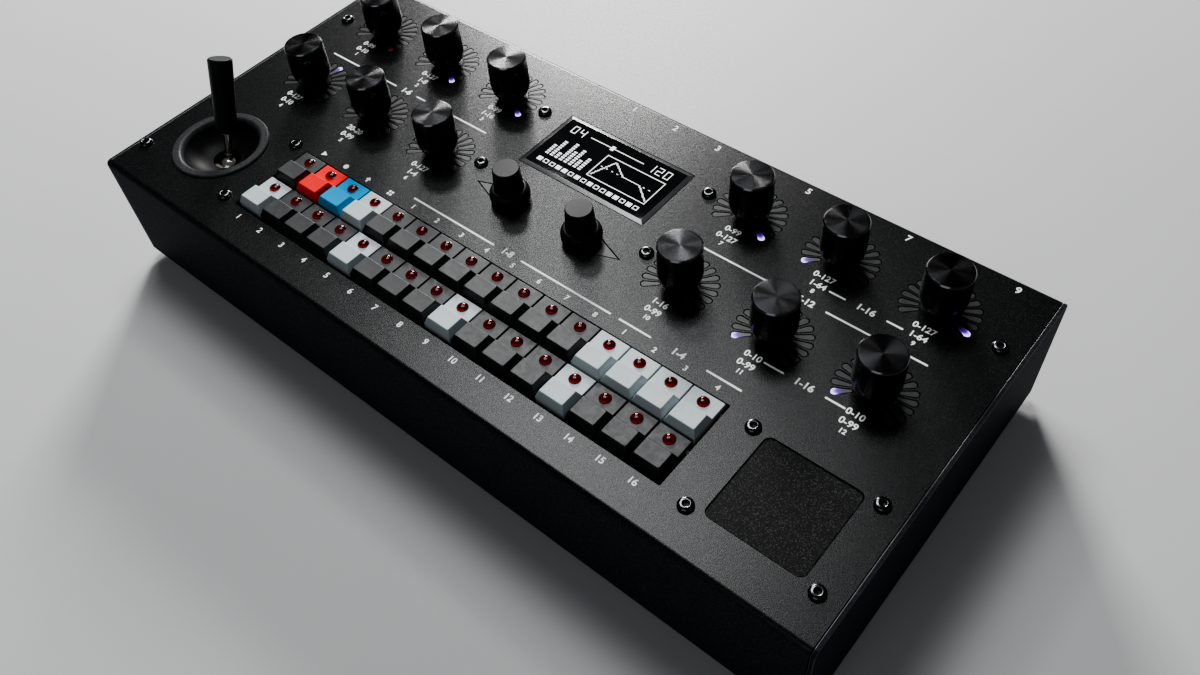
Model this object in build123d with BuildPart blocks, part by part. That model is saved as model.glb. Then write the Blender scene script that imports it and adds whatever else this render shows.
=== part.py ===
"""Desktop groovebox: a sheet-metal case with two rows of sixteen step keys,
twelve endless encoders with light rings, two volume pots, a display, a touch
pad and a two-axis joystick.

All lengths are millimetres.  Layout figures are given on the panel (x from its
left edge, y from its front edge, z from its top face) and turned into the
part's own frame by px(), py() and pz(): +Z up, origin on the floor under the
middle of the whole thing.
"""
import os
from math import sin, cos, radians, sqrt

from build123d import *

os.makedirs("parts", exist_ok=True)

# ---------------------------------------------------------------- case
case_w = 345.0          # left to right
case_d = 159.0          # front to back
case_h = 51.5           # sheet-metal case alone
foot_h = 4.0
foot_r = 7.0
sheet_t = 1.5
bend_r = 2.2            # outside radius of the cover's front and rear bends
side_gap = 0.3          # between the cover's side edges and the tray's walls
rear_lip = 10.0         # height of the cover's rear flange
jack_out = 1.3          # how far the jack noses stand out behind the case

x_mid = case_w / 2
y_mid = (case_d + jack_out) / 2
z_top = case_h + foot_h

# ---------------------------------------------------------------- keys
key_pitch = 13.165
row_pitch = 18.17
keys_mid_x = 172.0
key_w = 12.85
key_rear_y = 53.67      # rear edge of the upper row
key_step_y = 46.70      # where the raised front block begins
key_front_y = 36.74
key_plate_z = 0.9       # top of the flat rear part
key_skirt_z = 0.3       # where the front block's walls start to lean in
key_top_z = 3.6
key_top_w = 10.4
key_top_y = (37.97, 45.18)
key_under_z = -2.6
key_axis_y = 52.37      # hinge barrel of the upper row
key_axis_z = -1.7
barrel_r = 0.9
led_y = 50.02
led_r = 2.05
led_top_z = 2.9
key_window = (65.7, 278.3, 16.9, 54.6)

# ---------------------------------------------------------------- knobs
enc_cols = (32.6, 71.9, 111.2, 233.3, 272.6, 311.9)
enc_rows = (130.8, 87.4)
knob_r = 8.35
knob_top_r = 7.75
knob_bottom_z = 1.6
knob_top_z = 19.8
shaft_r = 3.0
bore_fit = 0.06         # running fit of a shaft in its bushing
pot_xy = ((154.25, 83.5), (190.55, 83.5))
pot_top_z = 16.2

# light ring: petal centre lines, clockwise from six o'clock
petal_n = 16
petal_step = 16.875
petal_first = 53.4375
petal_r_out, petal_w_out = 12.9, 1.15     # centre and radius of the outer end
petal_r_in, petal_w_in = 7.7, 0.55        # centre and radius of the inner end
petal_gap = 0.14
arrow_len, arrow_half = 17.1, 4.6         # pot arrow windows

# ---------------------------------------------------------------- others
display_c = (172.65, 118.9)
display_size = (63.3, 33.8)
pad_c = (312.1, 34.75)
pad_size = (35.9, 35.6)
pad_corner = 2.75
joy_c = (32.6, 35.5)
joy_z = -12.0           # pivot below the panel
joy_flange_r = 20.25
joy_bowl_r = 17.0
joy_len = 46.1          # pivot to the top of the stick
joy_lean_y = 22.9       # resting lean towards the rear, degrees
joy_lean_x = -9.3       # resting lean to the left, degrees
jack_pitch = 21.15
jack_x = [329.0 - jack_pitch * i for i in range(9)]
jack_z = -25.0
jack_bore_r = 3.2
board_top = -12.0
board_t = 1.6
seat = 0.05             # solder or glue line between two pieces

screw_xy = (
    (4.9, 17.2), (59.0, 17.2), (59.0, 54.35), (4.9, 54.35),
    (130.2, 91.8), (130.2, 130.56), (214.55, 130.56), (214.55, 91.8),
    (288.9, 16.2), (335.35, 16.2), (288.9, 52.0), (335.35, 52.0),
)
cover_screw_xy = ((9.5, 127.3), (335.5, 127.1))


def px(x):
    return x - x_mid


def py(y):
    return y - y_mid


def pz(z):
    return z + z_top


def level(z):
    """Horizontal plane at height z above the panel."""
    return Plane.XY.offset(pz(z))


def xy(points):
    return [(px(x), py(y)) for x, y in points]


def rect_at(x0, x1, y0, y1):
    """Sketch rectangle between panel coordinates."""
    with Locations((px((x0 + x1) / 2), py((y0 + y1) / 2))):
        return Rectangle(x1 - x0, y1 - y0)


def finish(part, name):
    part.label = name
    export_step(part, f"parts/{name}.step")


enc_xy = [(x, y) for half in (enc_cols[:3], enc_cols[3:]) for y in enc_rows
          for x in half]


def petal(grow):
    """One tear-shaped light window lying along +X."""
    r1, r0 = petal_w_out + grow, petal_w_in + grow
    s = (r1 - r0) / (petal_r_out - petal_r_in)
    c = sqrt(1 - s * s)
    with BuildSketch() as sk:
        with BuildLine():
            a = (petal_r_in - r0 * s, r0 * c)
            b = (petal_r_out - r1 * s, r1 * c)
            Line(a, b)
            ThreePointArc(b, (petal_r_out + r1, 0), (b[0], -b[1]))
            Line((b[0], -b[1]), (a[0], -a[1]))
            ThreePointArc((a[0], -a[1]), (petal_r_in - r0, 0), a)
        make_face()
    return sk.sketch


def arrow(grow):
    """Arrow window lying along +X, point outwards."""
    with BuildSketch() as sk:
        with BuildLine():
            k = arrow_half / (arrow_len - 4.4)
            d = grow * sqrt(1 + k * k) / k
            Polyline((4.4 - grow, (arrow_len + d - 4.4 + grow) * k),
                     (arrow_len + d, 0),
                     (4.4 - grow, -(arrow_len + d - 4.4 + grow) * k), close=True)
        make_face()
    return sk.sketch


ring_start = 270 - petal_first - petal_step * (petal_n - 1)
ring_range = petal_step * (petal_n - 1)

# ================================================================ top cover
cover_x0, cover_x1 = sheet_t + side_gap, case_w - sheet_t - side_gap
with BuildPart() as top_cover:
    with BuildSketch(Plane.YZ.offset(px(cover_x0))) as sheet:
        with BuildLine():
            Polyline((py(0), pz(-case_h)), (py(0), pz(0)), (py(case_d), pz(0)),
                     (py(case_d), pz(-rear_lip)),
                     (py(case_d - sheet_t), pz(-rear_lip)),
                     (py(case_d - sheet_t), pz(-sheet_t)),
                     (py(sheet_t), pz(-sheet_t)), (py(sheet_t), pz(-case_h)),
                     close=True)
        make_face()
        corners = sheet.vertices()
        fillet([v for v in corners if abs(v.Y - pz(0)) < 0.01], bend_r)
        corners = sheet.vertices()
        fillet([v for v in corners if abs(v.Y - pz(-sheet_t)) < 0.01],
               bend_r - sheet_t)
    extrude(amount=cover_x1 - cover_x0)
    # openings for the keys, display, pad and joystick, and the screw holes
    with BuildSketch(level(1)):
        rect_at(*key_window)
        with Locations((px(display_c[0]), py(display_c[1]))):
            Rectangle(*display_size)
        with Locations((px(pad_c[0]), py(pad_c[1]))):
            RectangleRounded(*pad_size, pad_corner)
        with Locations((px(joy_c[0]), py(joy_c[1]))):
            Circle(joy_bowl_r + 1.1)
        with Locations(*xy(enc_xy), *xy(pot_xy)):
            Circle(shaft_r + 0.6)
        with Locations(*xy(screw_xy), *xy(cover_screw_xy)):
            Circle(1.7)
    extrude(amount=-4, mode=Mode.SUBTRACT)
    # light windows
    slot = petal(petal_gap)
    with BuildSketch(level(1)):
        with Locations(*xy(enc_xy)):
            with PolarLocations(0, petal_n, ring_start, ring_range, endpoint=True):
                add(slot)
        with Locations(Location((px(pot_xy[0][0]), py(pot_xy[0][1])), 180),
                       Location((px(pot_xy[1][0]), py(pot_xy[1][1])), 0)):
            add(arrow(petal_gap))
    extrude(amount=-4, mode=Mode.SUBTRACT)
finish(top_cover.part, "top_cover")

# ================================================================ base tray
with BuildPart() as base_tray:
    with BuildSketch(level(-case_h)):
        rect_at(0, case_w, sheet_t + 0.2, case_d - sheet_t - 0.2)
    extrude(amount=sheet_t)
    for x0 in (0, case_w - sheet_t):
        with BuildSketch(Plane.YZ.offset(px(x0))) as wall:
            with Locations((py(case_d / 2), pz(-case_h / 2))):
                Rectangle(case_d, case_h)
            fillet(wall.vertices().group_by(Axis.Y)[-1], bend_r)
        extrude(amount=sheet_t)
    # upturned lips that the front wall and the rear panel lie against
    with BuildSketch(level(-case_h + sheet_t)):
        rect_at(12, case_w - 12, 1.7, 3.2)
        rect_at(12, case_w - 12, 154.1, 155.6)
    extrude(amount=8)
    # tabs under the panel for the two cover screws
    with BuildSketch(level(-2 * sheet_t)):
        rect_at(sheet_t, 14, 121, 133.5)
        rect_at(case_w - 14, case_w - sheet_t, 121, 133.5)
        with Locations(*xy(cover_screw_xy)):
            Circle(1.55, mode=Mode.SUBTRACT)
    extrude(amount=sheet_t)
finish(base_tray.part, "base_tray")

# ================================================================ rear panel
socket_x = {"dc": 24.0, "usb": 50.0, "midi_a": 76.0, "midi_b": 96.0}
rear_y = case_d - sheet_t - 0.2         # outer face of the panel
with BuildPart() as rear_panel:
    with BuildSketch(Plane.XZ.offset(-py(rear_y))):
        with Locations((0, pz((-2 - (case_h - sheet_t)) / 2))):
            Rectangle(case_w - 2 * sheet_t - 1.0, case_h - sheet_t - 2)
        with Locations(*[(px(x), pz(jack_z)) for x in jack_x]):
            Circle(4.8, mode=Mode.SUBTRACT)
        with Locations((px(socket_x["dc"]), pz(jack_z))):
            Circle(5.7, mode=Mode.SUBTRACT)
        with Locations((px(socket_x["usb"]), pz(jack_z))):
            RectangleRounded(10.2, 4.4, 2.0, mode=Mode.SUBTRACT)
        with Locations(*[(px(socket_x[k]), pz(jack_z)) for k in ("midi_a", "midi_b")]):
            Circle(3.2, mode=Mode.SUBTRACT)
    extrude(amount=sheet_t)
finish(rear_panel.part, "rear_panel")

# ================================================================ rear jacks
panel_in = rear_y - sheet_t
nose_y = case_d + jack_out
with BuildPart() as rear_jacks:
    jack_pts = [(px(x), pz(jack_z)) for x in jack_x]
    with BuildSketch(Plane.XZ.offset(-py(panel_in))):
        with Locations(*jack_pts):
            Rectangle(15, 15)
    extrude(amount=22)
    with BuildSketch(Plane.XZ.offset(-py(nose_y))):
        with Locations(*jack_pts):
            Circle(4.6)
    extrude(amount=nose_y - panel_in)
    with BuildSketch(Plane.XZ.offset(-py(nose_y))):
        with Locations(*jack_pts):
            Circle(jack_bore_r)
    extrude(amount=22, mode=Mode.SUBTRACT)
    # supply inlet with its centre pin
    dc = (px(socket_x["dc"]), pz(jack_z))
    with BuildSketch(Plane.XZ.offset(-py(panel_in))):
        with Locations(dc):
            Rectangle(13, 13)
    extrude(amount=12)
    with BuildSketch(Plane.XZ.offset(-py(rear_y + 0.6))):
        with Locations(dc):
            Circle(5.5)
    extrude(amount=rear_y + 0.6 - panel_in)
    with BuildSketch(Plane.XZ.offset(-py(rear_y + 0.6))):
        with Locations(dc):
            Circle(2.9)
            Circle(1.0, mode=Mode.SUBTRACT)
    extrude(amount=10.5, mode=Mode.SUBTRACT)
    # data socket
    usb = (px(socket_x["usb"]), pz(jack_z))
    with BuildSketch(Plane.XZ.offset(-py(rear_y - 0.1))):
        with Locations(usb):
            RectangleRounded(9.6, 3.8, 1.8)
            RectangleRounded(8.9, 3.1, 1.5, mode=Mode.SUBTRACT)
            RectangleRounded(6.6, 0.8, 0.3)
    extrude(amount=6)
    with BuildSketch(Plane.XZ.offset(-py(rear_y - 6.1))):
        with Locations(usb):
            RectangleRounded(9.6, 3.8, 1.8)
    extrude(amount=3)
    # two small clock and note sockets
    midi = [(px(socket_x[k]), pz(jack_z)) for k in ("midi_a", "midi_b")]
    with BuildSketch(Plane.XZ.offset(-py(panel_in))):
        with Locations(*midi):
            Rectangle(9, 9)
    extrude(amount=13)
    with BuildSketch(Plane.XZ.offset(-py(rear_y + 1.2))):
        with Locations(*midi):
            Circle(3.0)
    extrude(amount=rear_y + 1.2 - panel_in)
    with BuildSketch(Plane.XZ.offset(-py(rear_y + 1.2))):
        with Locations(*midi):
            Circle(1.8)
    extrude(amount=12, mode=Mode.SUBTRACT)
finish(rear_jacks.part, "rear_jacks")

# ================================================================ control board
with BuildPart() as control_board:
    with BuildSketch(level(board_top - board_t)):
        rect_at(2.6, 342.4, 8, 150)
        with Locations((px(joy_c[0]), py(joy_c[1]))):
            Circle(19.5, mode=Mode.SUBTRACT)
    extrude(amount=board_t)
    # encoder and pot cans with their bushings, soldered to the board
    with BuildSketch(level(board_top + seat)):
        with Locations(*xy(enc_xy), *xy(pot_xy)):
            Rectangle(12, 12)
    extrude(amount=6.5 - seat)
    with BuildSketch(level(-5.5)):
        with Locations(*xy(enc_xy), *xy(pot_xy)):
            Circle(3.5)
    extrude(amount=3.8)
    with BuildSketch(level(-8.2)):
        with Locations(*xy(enc_xy), *xy(pot_xy)):
            Circle(shaft_r + bore_fit)
    extrude(amount=8, mode=Mode.SUBTRACT)
finish(control_board.part, "control_board")

# ================================================================ key switches
key_xs = [keys_mid_x + (i - 7.5) * key_pitch for i in range(16)]
rows = {"top": 0.0, "bottom": -row_pitch}
with BuildPart() as key_switches:
    base_xy = [(x, 45.6 + dy) for dy in rows.values() for x in key_xs]
    led_xy = [(x, led_y + dy) for dy in rows.values() for x in key_xs]
    hinge_xy = [(x, key_axis_y + dy) for dy in rows.values() for x in key_xs]
    with BuildSketch(level(board_top)):
        with Locations(*xy(base_xy)):
            Rectangle(12.2, 15.6)
    extrude(amount=7)
    with BuildSketch(level(-5)):
        with Locations(*xy(hinge_xy)):
            Rectangle(8, 2.2)
    extrude(amount=key_axis_z - 0.1 + 5)
    for dy in rows.values():
        with BuildSketch(Plane.YZ.offset(px(key_xs[0] - 8))):
            with Locations((py(key_axis_y + dy), pz(key_axis_z))):
                Circle(barrel_r + 0.06)
        extrude(amount=key_pitch * 15 + 16, mode=Mode.SUBTRACT)
    # indicator lamps: a stem through the key and a domed head above it
    with BuildSketch(level(-5 + seat)):
        with Locations(*xy(led_xy)):
            Circle(1.1)
    extrude(amount=5 - seat + key_plate_z + 0.15)
    with BuildSketch(level(key_plate_z + 0.15)):
        with Locations(*xy(led_xy)):
            Circle(led_r)
    extrude(amount=led_top_z - key_plate_z - 0.15)
    fillet(key_switches.edges().filter_by(GeomType.CIRCLE).group_by(Axis.Z)[-1], 1.7)
finish(key_switches.part, "key_switches")

# ================================================================ keys
for row, dy in rows.items():
    for i, kx in enumerate(key_xs):
        name = f"key_{row}_{i + 1:02d}"
        with BuildPart() as key:
            # flat rear plate
            with BuildSketch(level(-1.0)):
                rect_at(kx - key_w / 2, kx + key_w / 2, key_step_y + dy, key_rear_y + dy)
            extrude(amount=1.0 + key_plate_z)
            # raised front block: straight skirt, then four leaning walls
            with BuildSketch(level(key_under_z)):
                rect_at(kx - key_w / 2, kx + key_w / 2, key_front_y + dy, key_step_y + dy)
            extrude(amount=key_skirt_z - key_under_z)
            with BuildSketch(level(key_skirt_z)):
                rect_at(kx - key_w / 2, kx + key_w / 2, key_front_y + dy, key_step_y + dy)
            with BuildSketch(level(key_top_z)):
                rect_at(kx - key_top_w / 2, kx + key_top_w / 2,
                        key_top_y[0] + dy, key_top_y[1] + dy)
            loft()
            # hollow under the block
            with BuildSketch(level(key_under_z)):
                rect_at(kx - 4.6, kx + 4.6, key_front_y + 2.2 + dy, key_step_y - 2.0 + dy)
            extrude(amount=4.4, mode=Mode.SUBTRACT)
            # lamp hole
            with BuildSketch(level(key_plate_z + 0.5)):
                with Locations((px(kx), py(led_y + dy))):
                    Circle(1.95)
            extrude(amount=-3, mode=Mode.SUBTRACT)
            # hinge barrel
            with BuildSketch(Plane.YZ.offset(px(kx - 3.8))):
                with Locations((py(key_axis_y + dy), pz(key_axis_z))):
                    Circle(barrel_r)
            extrude(amount=7.6)
        finish(key.part, name)

# ================================================================ light guides
with BuildPart() as light_guides:
    with BuildSketch(level(-3.4)):
        with Locations(*xy(enc_xy)):
            Circle(15.2)
            Circle(4.2, mode=Mode.SUBTRACT)
        with Locations(Location((px(pot_xy[0][0]), py(pot_xy[0][1])), 180),
                       Location((px(pot_xy[1][0]), py(pot_xy[1][1])), 0)):
            add(arrow(0.9))
    extrude(amount=3.4 - sheet_t)
    tooth = petal(0)
    with BuildSketch(level(-sheet_t)):
        with Locations(*xy(enc_xy)):
            with PolarLocations(0, petal_n, ring_start, ring_range, endpoint=True):
                add(tooth)
        with Locations(Location((px(pot_xy[0][0]), py(pot_xy[0][1])), 180),
                       Location((px(pot_xy[1][0]), py(pot_xy[1][1])), 0)):
            add(arrow(0))
    extrude(amount=sheet_t - 0.05)
finish(light_guides.part, "light_guides")

# ================================================================ encoder knobs
grub_angles = (-30, -24, -18, -36, -22, -28, -150, -20, 35, 200, 12, -8)
for i, (kx, ky) in enumerate(enc_xy):
    name = f"encoder_knob_{i + 1:02d}"
    ang = radians(grub_angles[i])
    radial = (cos(ang), sin(ang), 0)
    foot = (px(kx), py(ky), pz(0))
    side = Plane(origin=foot, x_dir=radial, z_dir=(sin(ang), -cos(ang), 0))
    axis = Axis(foot, (0, 0, 1))
    out = Plane(origin=(foot[0], foot[1], pz(14.6)), x_dir=(0, 0, 1), z_dir=radial)
    with BuildPart() as knob:
        with BuildSketch(side):
            with BuildLine():
                rim = [(shaft_r + 0.03, knob_bottom_z), (6.1, knob_bottom_z)]
                Line(*rim)
                Spline(rim[1], (7.5, 3.5), (knob_r, 7.6),
                       tangents=[(0.62, 0.78), (0, 1)])
                Polyline((knob_r, 7.6), (knob_r - 0.15, knob_top_z - 0.6),
                         (knob_top_r, knob_top_z), (0, knob_top_z), (0, 17.0),
                         (shaft_r + 0.03, 17.0), rim[0])
            make_face()
        revolve(axis=axis)
        # threaded hole for the grub screw
        with BuildSketch(out):
            Circle(1.52)
        extrude(amount=10, mode=Mode.SUBTRACT)
        # shaft of the encoder
        with BuildSketch(level(-8.0)):
            with Locations((px(kx), py(ky))):
                Circle(shaft_r)
        extrude(amount=24.9)
        # grub screw with its hexagon socket
        with BuildSketch(out.offset(shaft_r + 0.03)):
            Circle(1.5)
        extrude(amount=4.4)
        with BuildSketch(out.offset(shaft_r + 0.03 + 4.4)):
            RegularPolygon(0.87, 6)
        extrude(amount=-1.6, mode=Mode.SUBTRACT)
    finish(knob.part, name)

# ================================================================ pot knobs
for name, (kx, ky) in zip(("pot_knob_left", "pot_knob_right"), pot_xy):
    foot = (px(kx), py(ky), pz(0))
    side = Plane(origin=foot, x_dir=(1, 0, 0), z_dir=(0, -1, 0))
    with BuildPart() as knob:
        with BuildSketch(side):
            with BuildLine():
                Polyline((shaft_r + 0.03, 1.2), (7.5, 1.2), (7.9, 2.0), (7.95, 3.6))
                Spline((7.95, 3.6), (7.3, 5.3), (6.0, 6.5),
                       tangents=[(0, 1), (-0.9, 0.5)])
                Polyline((6.0, 6.5), (5.25, pot_top_z - 0.4), (4.9, pot_top_z),
                         (0, pot_top_z), (0, 12.5), (shaft_r + 0.03, 12.5),
                         (shaft_r + 0.03, 1.2))
            make_face()
        revolve(axis=Axis(foot, (0, 0, 1)))
        with BuildSketch(level(-8.0)):
            with Locations((px(kx), py(ky))):
                Circle(shaft_r)
        extrude(amount=20.4)
    finish(knob.part, name)

# ================================================================ display
with BuildPart() as display_module:
    dx, dy0 = px(display_c[0]), py(display_c[1])
    # clear window with bevelled edges
    with BuildSketch(level(-3.0)):
        with Locations((dx, dy0)):
            Rectangle(display_size[0] - 0.5, display_size[1] - 0.5)
    extrude(amount=3.5)
    window_top = display_module.faces().sort_by(Axis.Z)[-1]
    chamfer(window_top.edges(), length=1.7, length2=0.5, reference=window_top)
    # glass and its small board
    with BuildSketch(level(-5.2)):
        with Locations((dx, dy0)):
            Rectangle(66, 38)
    extrude(amount=2.2 - seat)
    with BuildSketch(level(-6.8)):
        with Locations((dx, dy0)):
            Rectangle(72, 43)
    extrude(amount=1.6 - seat)
finish(display_module.part, "display_module")

# ================================================================ touch pad
with BuildPart() as touch_pad:
    with BuildSketch(level(-3.4)):
        with Locations((px(pad_c[0]), py(pad_c[1]))):
            Rectangle(39.6, 39.6)
    extrude(amount=3.4 - sheet_t)
    with BuildSketch(level(-sheet_t)):
        with Locations((px(pad_c[0]), py(pad_c[1]))):
            RectangleRounded(pad_size[0] - 0.3, pad_size[1] - 0.3, pad_corner - 0.15)
    extrude(amount=0.6)
finish(touch_pad.part, "touch_pad")

# ================================================================ joystick
joy = (px(joy_c[0]), py(joy_c[1]), pz(0))
pivot = (joy[0], joy[1], pz(joy_z))
with BuildPart() as joystick_housing:
    with BuildSketch(Plane(origin=joy, x_dir=(1, 0, 0), z_dir=(0, -1, 0))):
        with BuildLine():
            # bowl inside, from the rim down to the hole round the ball
            Polyline((joy_flange_r, 0), (joy_flange_r, 0.6), (joy_flange_r - 0.4, 1.0),
                     (joy_bowl_r + 0.6, 1.0))
            ThreePointArc((joy_bowl_r + 0.6, 1.0), (joy_bowl_r + 0.18, 0.82),
                          (joy_bowl_r, 0.4))
            ThreePointArc((joy_bowl_r, 0.4), (12.6, -4.7), (6.0, -7.3))
            Line((6.0, -7.3), (6.0, -8.4))
            ThreePointArc((6.0, -8.4), (13.1, -5.7), (joy_bowl_r + 0.9, -0.2))
            Polyline((joy_bowl_r + 0.9, -0.2), (joy_bowl_r + 0.9, 0), (joy_flange_r, 0))
        make_face()
    revolve(axis=Axis(joy, (0, 0, 1)))
    # two cheeks that carry the yoke's pins
    with BuildSketch(level(-16.5)):
        with Locations((joy[0] - 9.6, joy[1]), (joy[0] + 9.6, joy[1])):
            Rectangle(2.8, 11)
    extrude(amount=9.3)
    with BuildSketch(Plane.YZ.offset(joy[0] - 12)):
        with Locations((joy[1], pivot[2])):
            Circle(1.26)
    extrude(amount=24, mode=Mode.SUBTRACT)
finish(joystick_housing.part, "joystick_housing")

ca, sa = cos(radians(joy_lean_y)), sin(radians(joy_lean_y))
cb, sb = cos(radians(joy_lean_x)), sin(radians(joy_lean_x))
yoke_up = (0, sa, ca)                       # the yoke leans about X only
stick_up = (sb, cb * sa, cb * ca)           # then the stick about the yoke's Y
stick_x = (cb, -sb * sa, -sb * ca)
yoke_plane = Plane(origin=pivot, x_dir=(1, 0, 0), z_dir=yoke_up)
stick_plane = Plane(origin=pivot, x_dir=stick_x, z_dir=stick_up)
yoke_y = (0, ca, -sa)                       # direction of the stick's pin
stick_side = Plane(origin=pivot, x_dir=stick_x, z_dir=(0, -ca, sa))

with BuildPart() as joystick_yoke:
    with BuildSketch(yoke_plane.offset(-1.7)):
        Circle(6.4)
    extrude(amount=3.4)
    with BuildSketch(Plane.YZ.offset(pivot[0] - 10.6)):
        with Locations((pivot[1], pivot[2])):
            Circle(1.2)
    extrude(amount=21.2)
    with BuildSketch(yoke_plane.offset(-3)):
        Circle(4.75)
    extrude(amount=6, mode=Mode.SUBTRACT)
    with BuildSketch(Plane(origin=pivot, x_dir=(1, 0, 0), z_dir=yoke_y).offset(-8)):
        Circle(1.26)
    extrude(amount=16, mode=Mode.SUBTRACT)
finish(joystick_yoke.part, "joystick_yoke")

with BuildPart() as joystick_stick:
    # ball, pin, shaft and tail turned as one piece
    with BuildSketch(stick_side):
        with BuildLine():
            # half outline in the stick's own plane: x across, y along the shaft
            Line((0, -4.25), (0, 4.25))
            ThreePointArc((0, 4.25), (4.25, 0), (0, -4.25))
        make_face()
    revolve(axis=Axis(pivot, stick_up))
    with BuildSketch(stick_plane.offset(3)):
        Circle(1.5)
    extrude(amount=joy_len - 3 - 2.0)
    with BuildSketch(Plane(origin=pivot, x_dir=(1, 0, 0), z_dir=yoke_y).offset(-6.2)):
        Circle(1.2)
    extrude(amount=12.4)
    with BuildSketch(stick_plane.offset(-8)):
        Circle(1.5)
    extrude(amount=5)
    # slightly flared grip sleeve
    with BuildSketch(stick_side):
        with BuildLine():
            Polyline((1.53, 15.3), (4.05, 15.3), (4.4, 15.7), (5.0, joy_len - 0.5),
                     (4.6, joy_len), (0, joy_len), (0, joy_len - 1.9),
                     (1.53, joy_len - 1.9), close=True)
        make_face()
    revolve(axis=Axis(pivot, stick_up))
finish(joystick_stick.part, "joystick_stick")

# ================================================================ fasteners
with BuildPart() as fasteners:
    heads = xy(screw_xy) + xy(cover_screw_xy)
    with BuildSketch(level(0)):
        with Locations(*heads):
            Circle(2.85)
    extrude(amount=1.65)
    fillet(fasteners.edges().filter_by(GeomType.CIRCLE).group_by(Axis.Z)[-1], 1.35)
    with BuildSketch(level(1.65)):
        with Locations(*heads):
            RegularPolygon(1.17, 6)
    extrude(amount=-1.0, mode=Mode.SUBTRACT)
    with BuildSketch(level(-8)):
        with Locations(*heads):
            Circle(1.5)
    extrude(amount=8)
    # hexagon spacers between the board and the panel
    with BuildSketch(level(board_top)):
        with Locations(*xy(screw_xy)):
            RegularPolygon(3.17, 6)
            Circle(1.55, mode=Mode.SUBTRACT)
    extrude(amount=-sheet_t - board_top)
    # nuts on the jack noses
    with BuildSketch(Plane.XZ.offset(-py(rear_y + 2.0))):
        with Locations(*[(px(x), pz(jack_z)) for x in jack_x]):
            RegularPolygon(6.9, 6)
            Circle(4.63, mode=Mode.SUBTRACT)
    extrude(amount=2.0)
finish(fasteners.part, "fasteners")

# ================================================================ feet
with BuildPart() as feet:
    with BuildSketch(level(-case_h - foot_h)):
        with Locations(*xy([(x, y) for x in (18, case_w - 18) for y in (16, case_d - 16)])):
            Circle(foot_r)
    extrude(amount=foot_h)
    chamfer(feet.faces().group_by(Axis.Z)[0].edges(), 0.6)
finish(feet.part, "feet")
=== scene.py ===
"""Looks of the groovebox: finishes, fine meshes, light and camera.

Lengths in the layout tables are millimetres on the panel (x from its left
edge, y from its front edge, z from its top face).  P() turns them into metres
in the part's own frame.
"""
import math

import bmesh
import bpy
import numpy as np
from mathutils import Matrix, Vector


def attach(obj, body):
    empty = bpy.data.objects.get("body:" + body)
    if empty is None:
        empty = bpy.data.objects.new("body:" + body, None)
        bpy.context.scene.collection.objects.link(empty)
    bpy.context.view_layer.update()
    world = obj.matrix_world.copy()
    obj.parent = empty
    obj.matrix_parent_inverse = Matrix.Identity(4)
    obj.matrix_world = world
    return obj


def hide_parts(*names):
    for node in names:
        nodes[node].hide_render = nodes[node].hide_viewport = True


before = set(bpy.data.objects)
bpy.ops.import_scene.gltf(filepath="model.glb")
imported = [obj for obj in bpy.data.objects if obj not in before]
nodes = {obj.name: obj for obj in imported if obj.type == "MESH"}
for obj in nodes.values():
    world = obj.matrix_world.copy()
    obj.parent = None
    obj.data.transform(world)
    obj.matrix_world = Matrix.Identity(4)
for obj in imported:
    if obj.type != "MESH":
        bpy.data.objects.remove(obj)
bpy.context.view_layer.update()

MM = 0.001
XM, YM, ZT = 172.5, 80.15, 55.5
W, D, H, FOOT = 345.0, 159.0, 51.5, 4.0
SHEET, BEND = 1.5, 2.2
TAU = 2 * math.pi


def P(x, y, z):
    return ((x - XM) * MM, (y - YM) * MM, (z + ZT) * MM)


# ------------------------------------------------------------------ layout
KEY_X = [172.0 + (i - 7.5) * 13.165 for i in range(16)]
ROW_DY = {"top": 0.0, "bottom": -18.17}
ENC_COLS = (32.6, 71.9, 111.2, 233.3, 272.6, 311.9)
ENC = [(x, y) for half in (ENC_COLS[:3], ENC_COLS[3:]) for y in (130.8, 87.4) for x in half]
GRUB = (-30, -24, -18, -36, -22, -28, -150, -20, 35, 200, 12, -8)
POTS = ((154.25, 83.5), (190.55, 83.5))
PETAL_A = [270 - 53.4375 - 16.875 * i for i in range(16)]
DISP_C, DISP = (172.65, 118.9), (63.3, 33.8)
PAD_C, PAD = (312.1, 34.75), (35.9, 35.6)
JOY = (32.6, 35.5)
SCREWS = ((4.9, 17.2), (59.0, 17.2), (59.0, 54.35), (4.9, 54.35),
          (130.2, 91.8), (130.2, 130.56), (214.55, 130.56), (214.55, 91.8),
          (288.9, 16.2), (335.35, 16.2), (288.9, 52.0), (335.35, 52.0))
COVER_SCREWS = ((9.5, 127.3), (335.5, 127.1))
JACK_X = [329.0 - 21.15 * i for i in range(9)]
JACK_Z = -25.0
REAR_Y = 157.3


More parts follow.
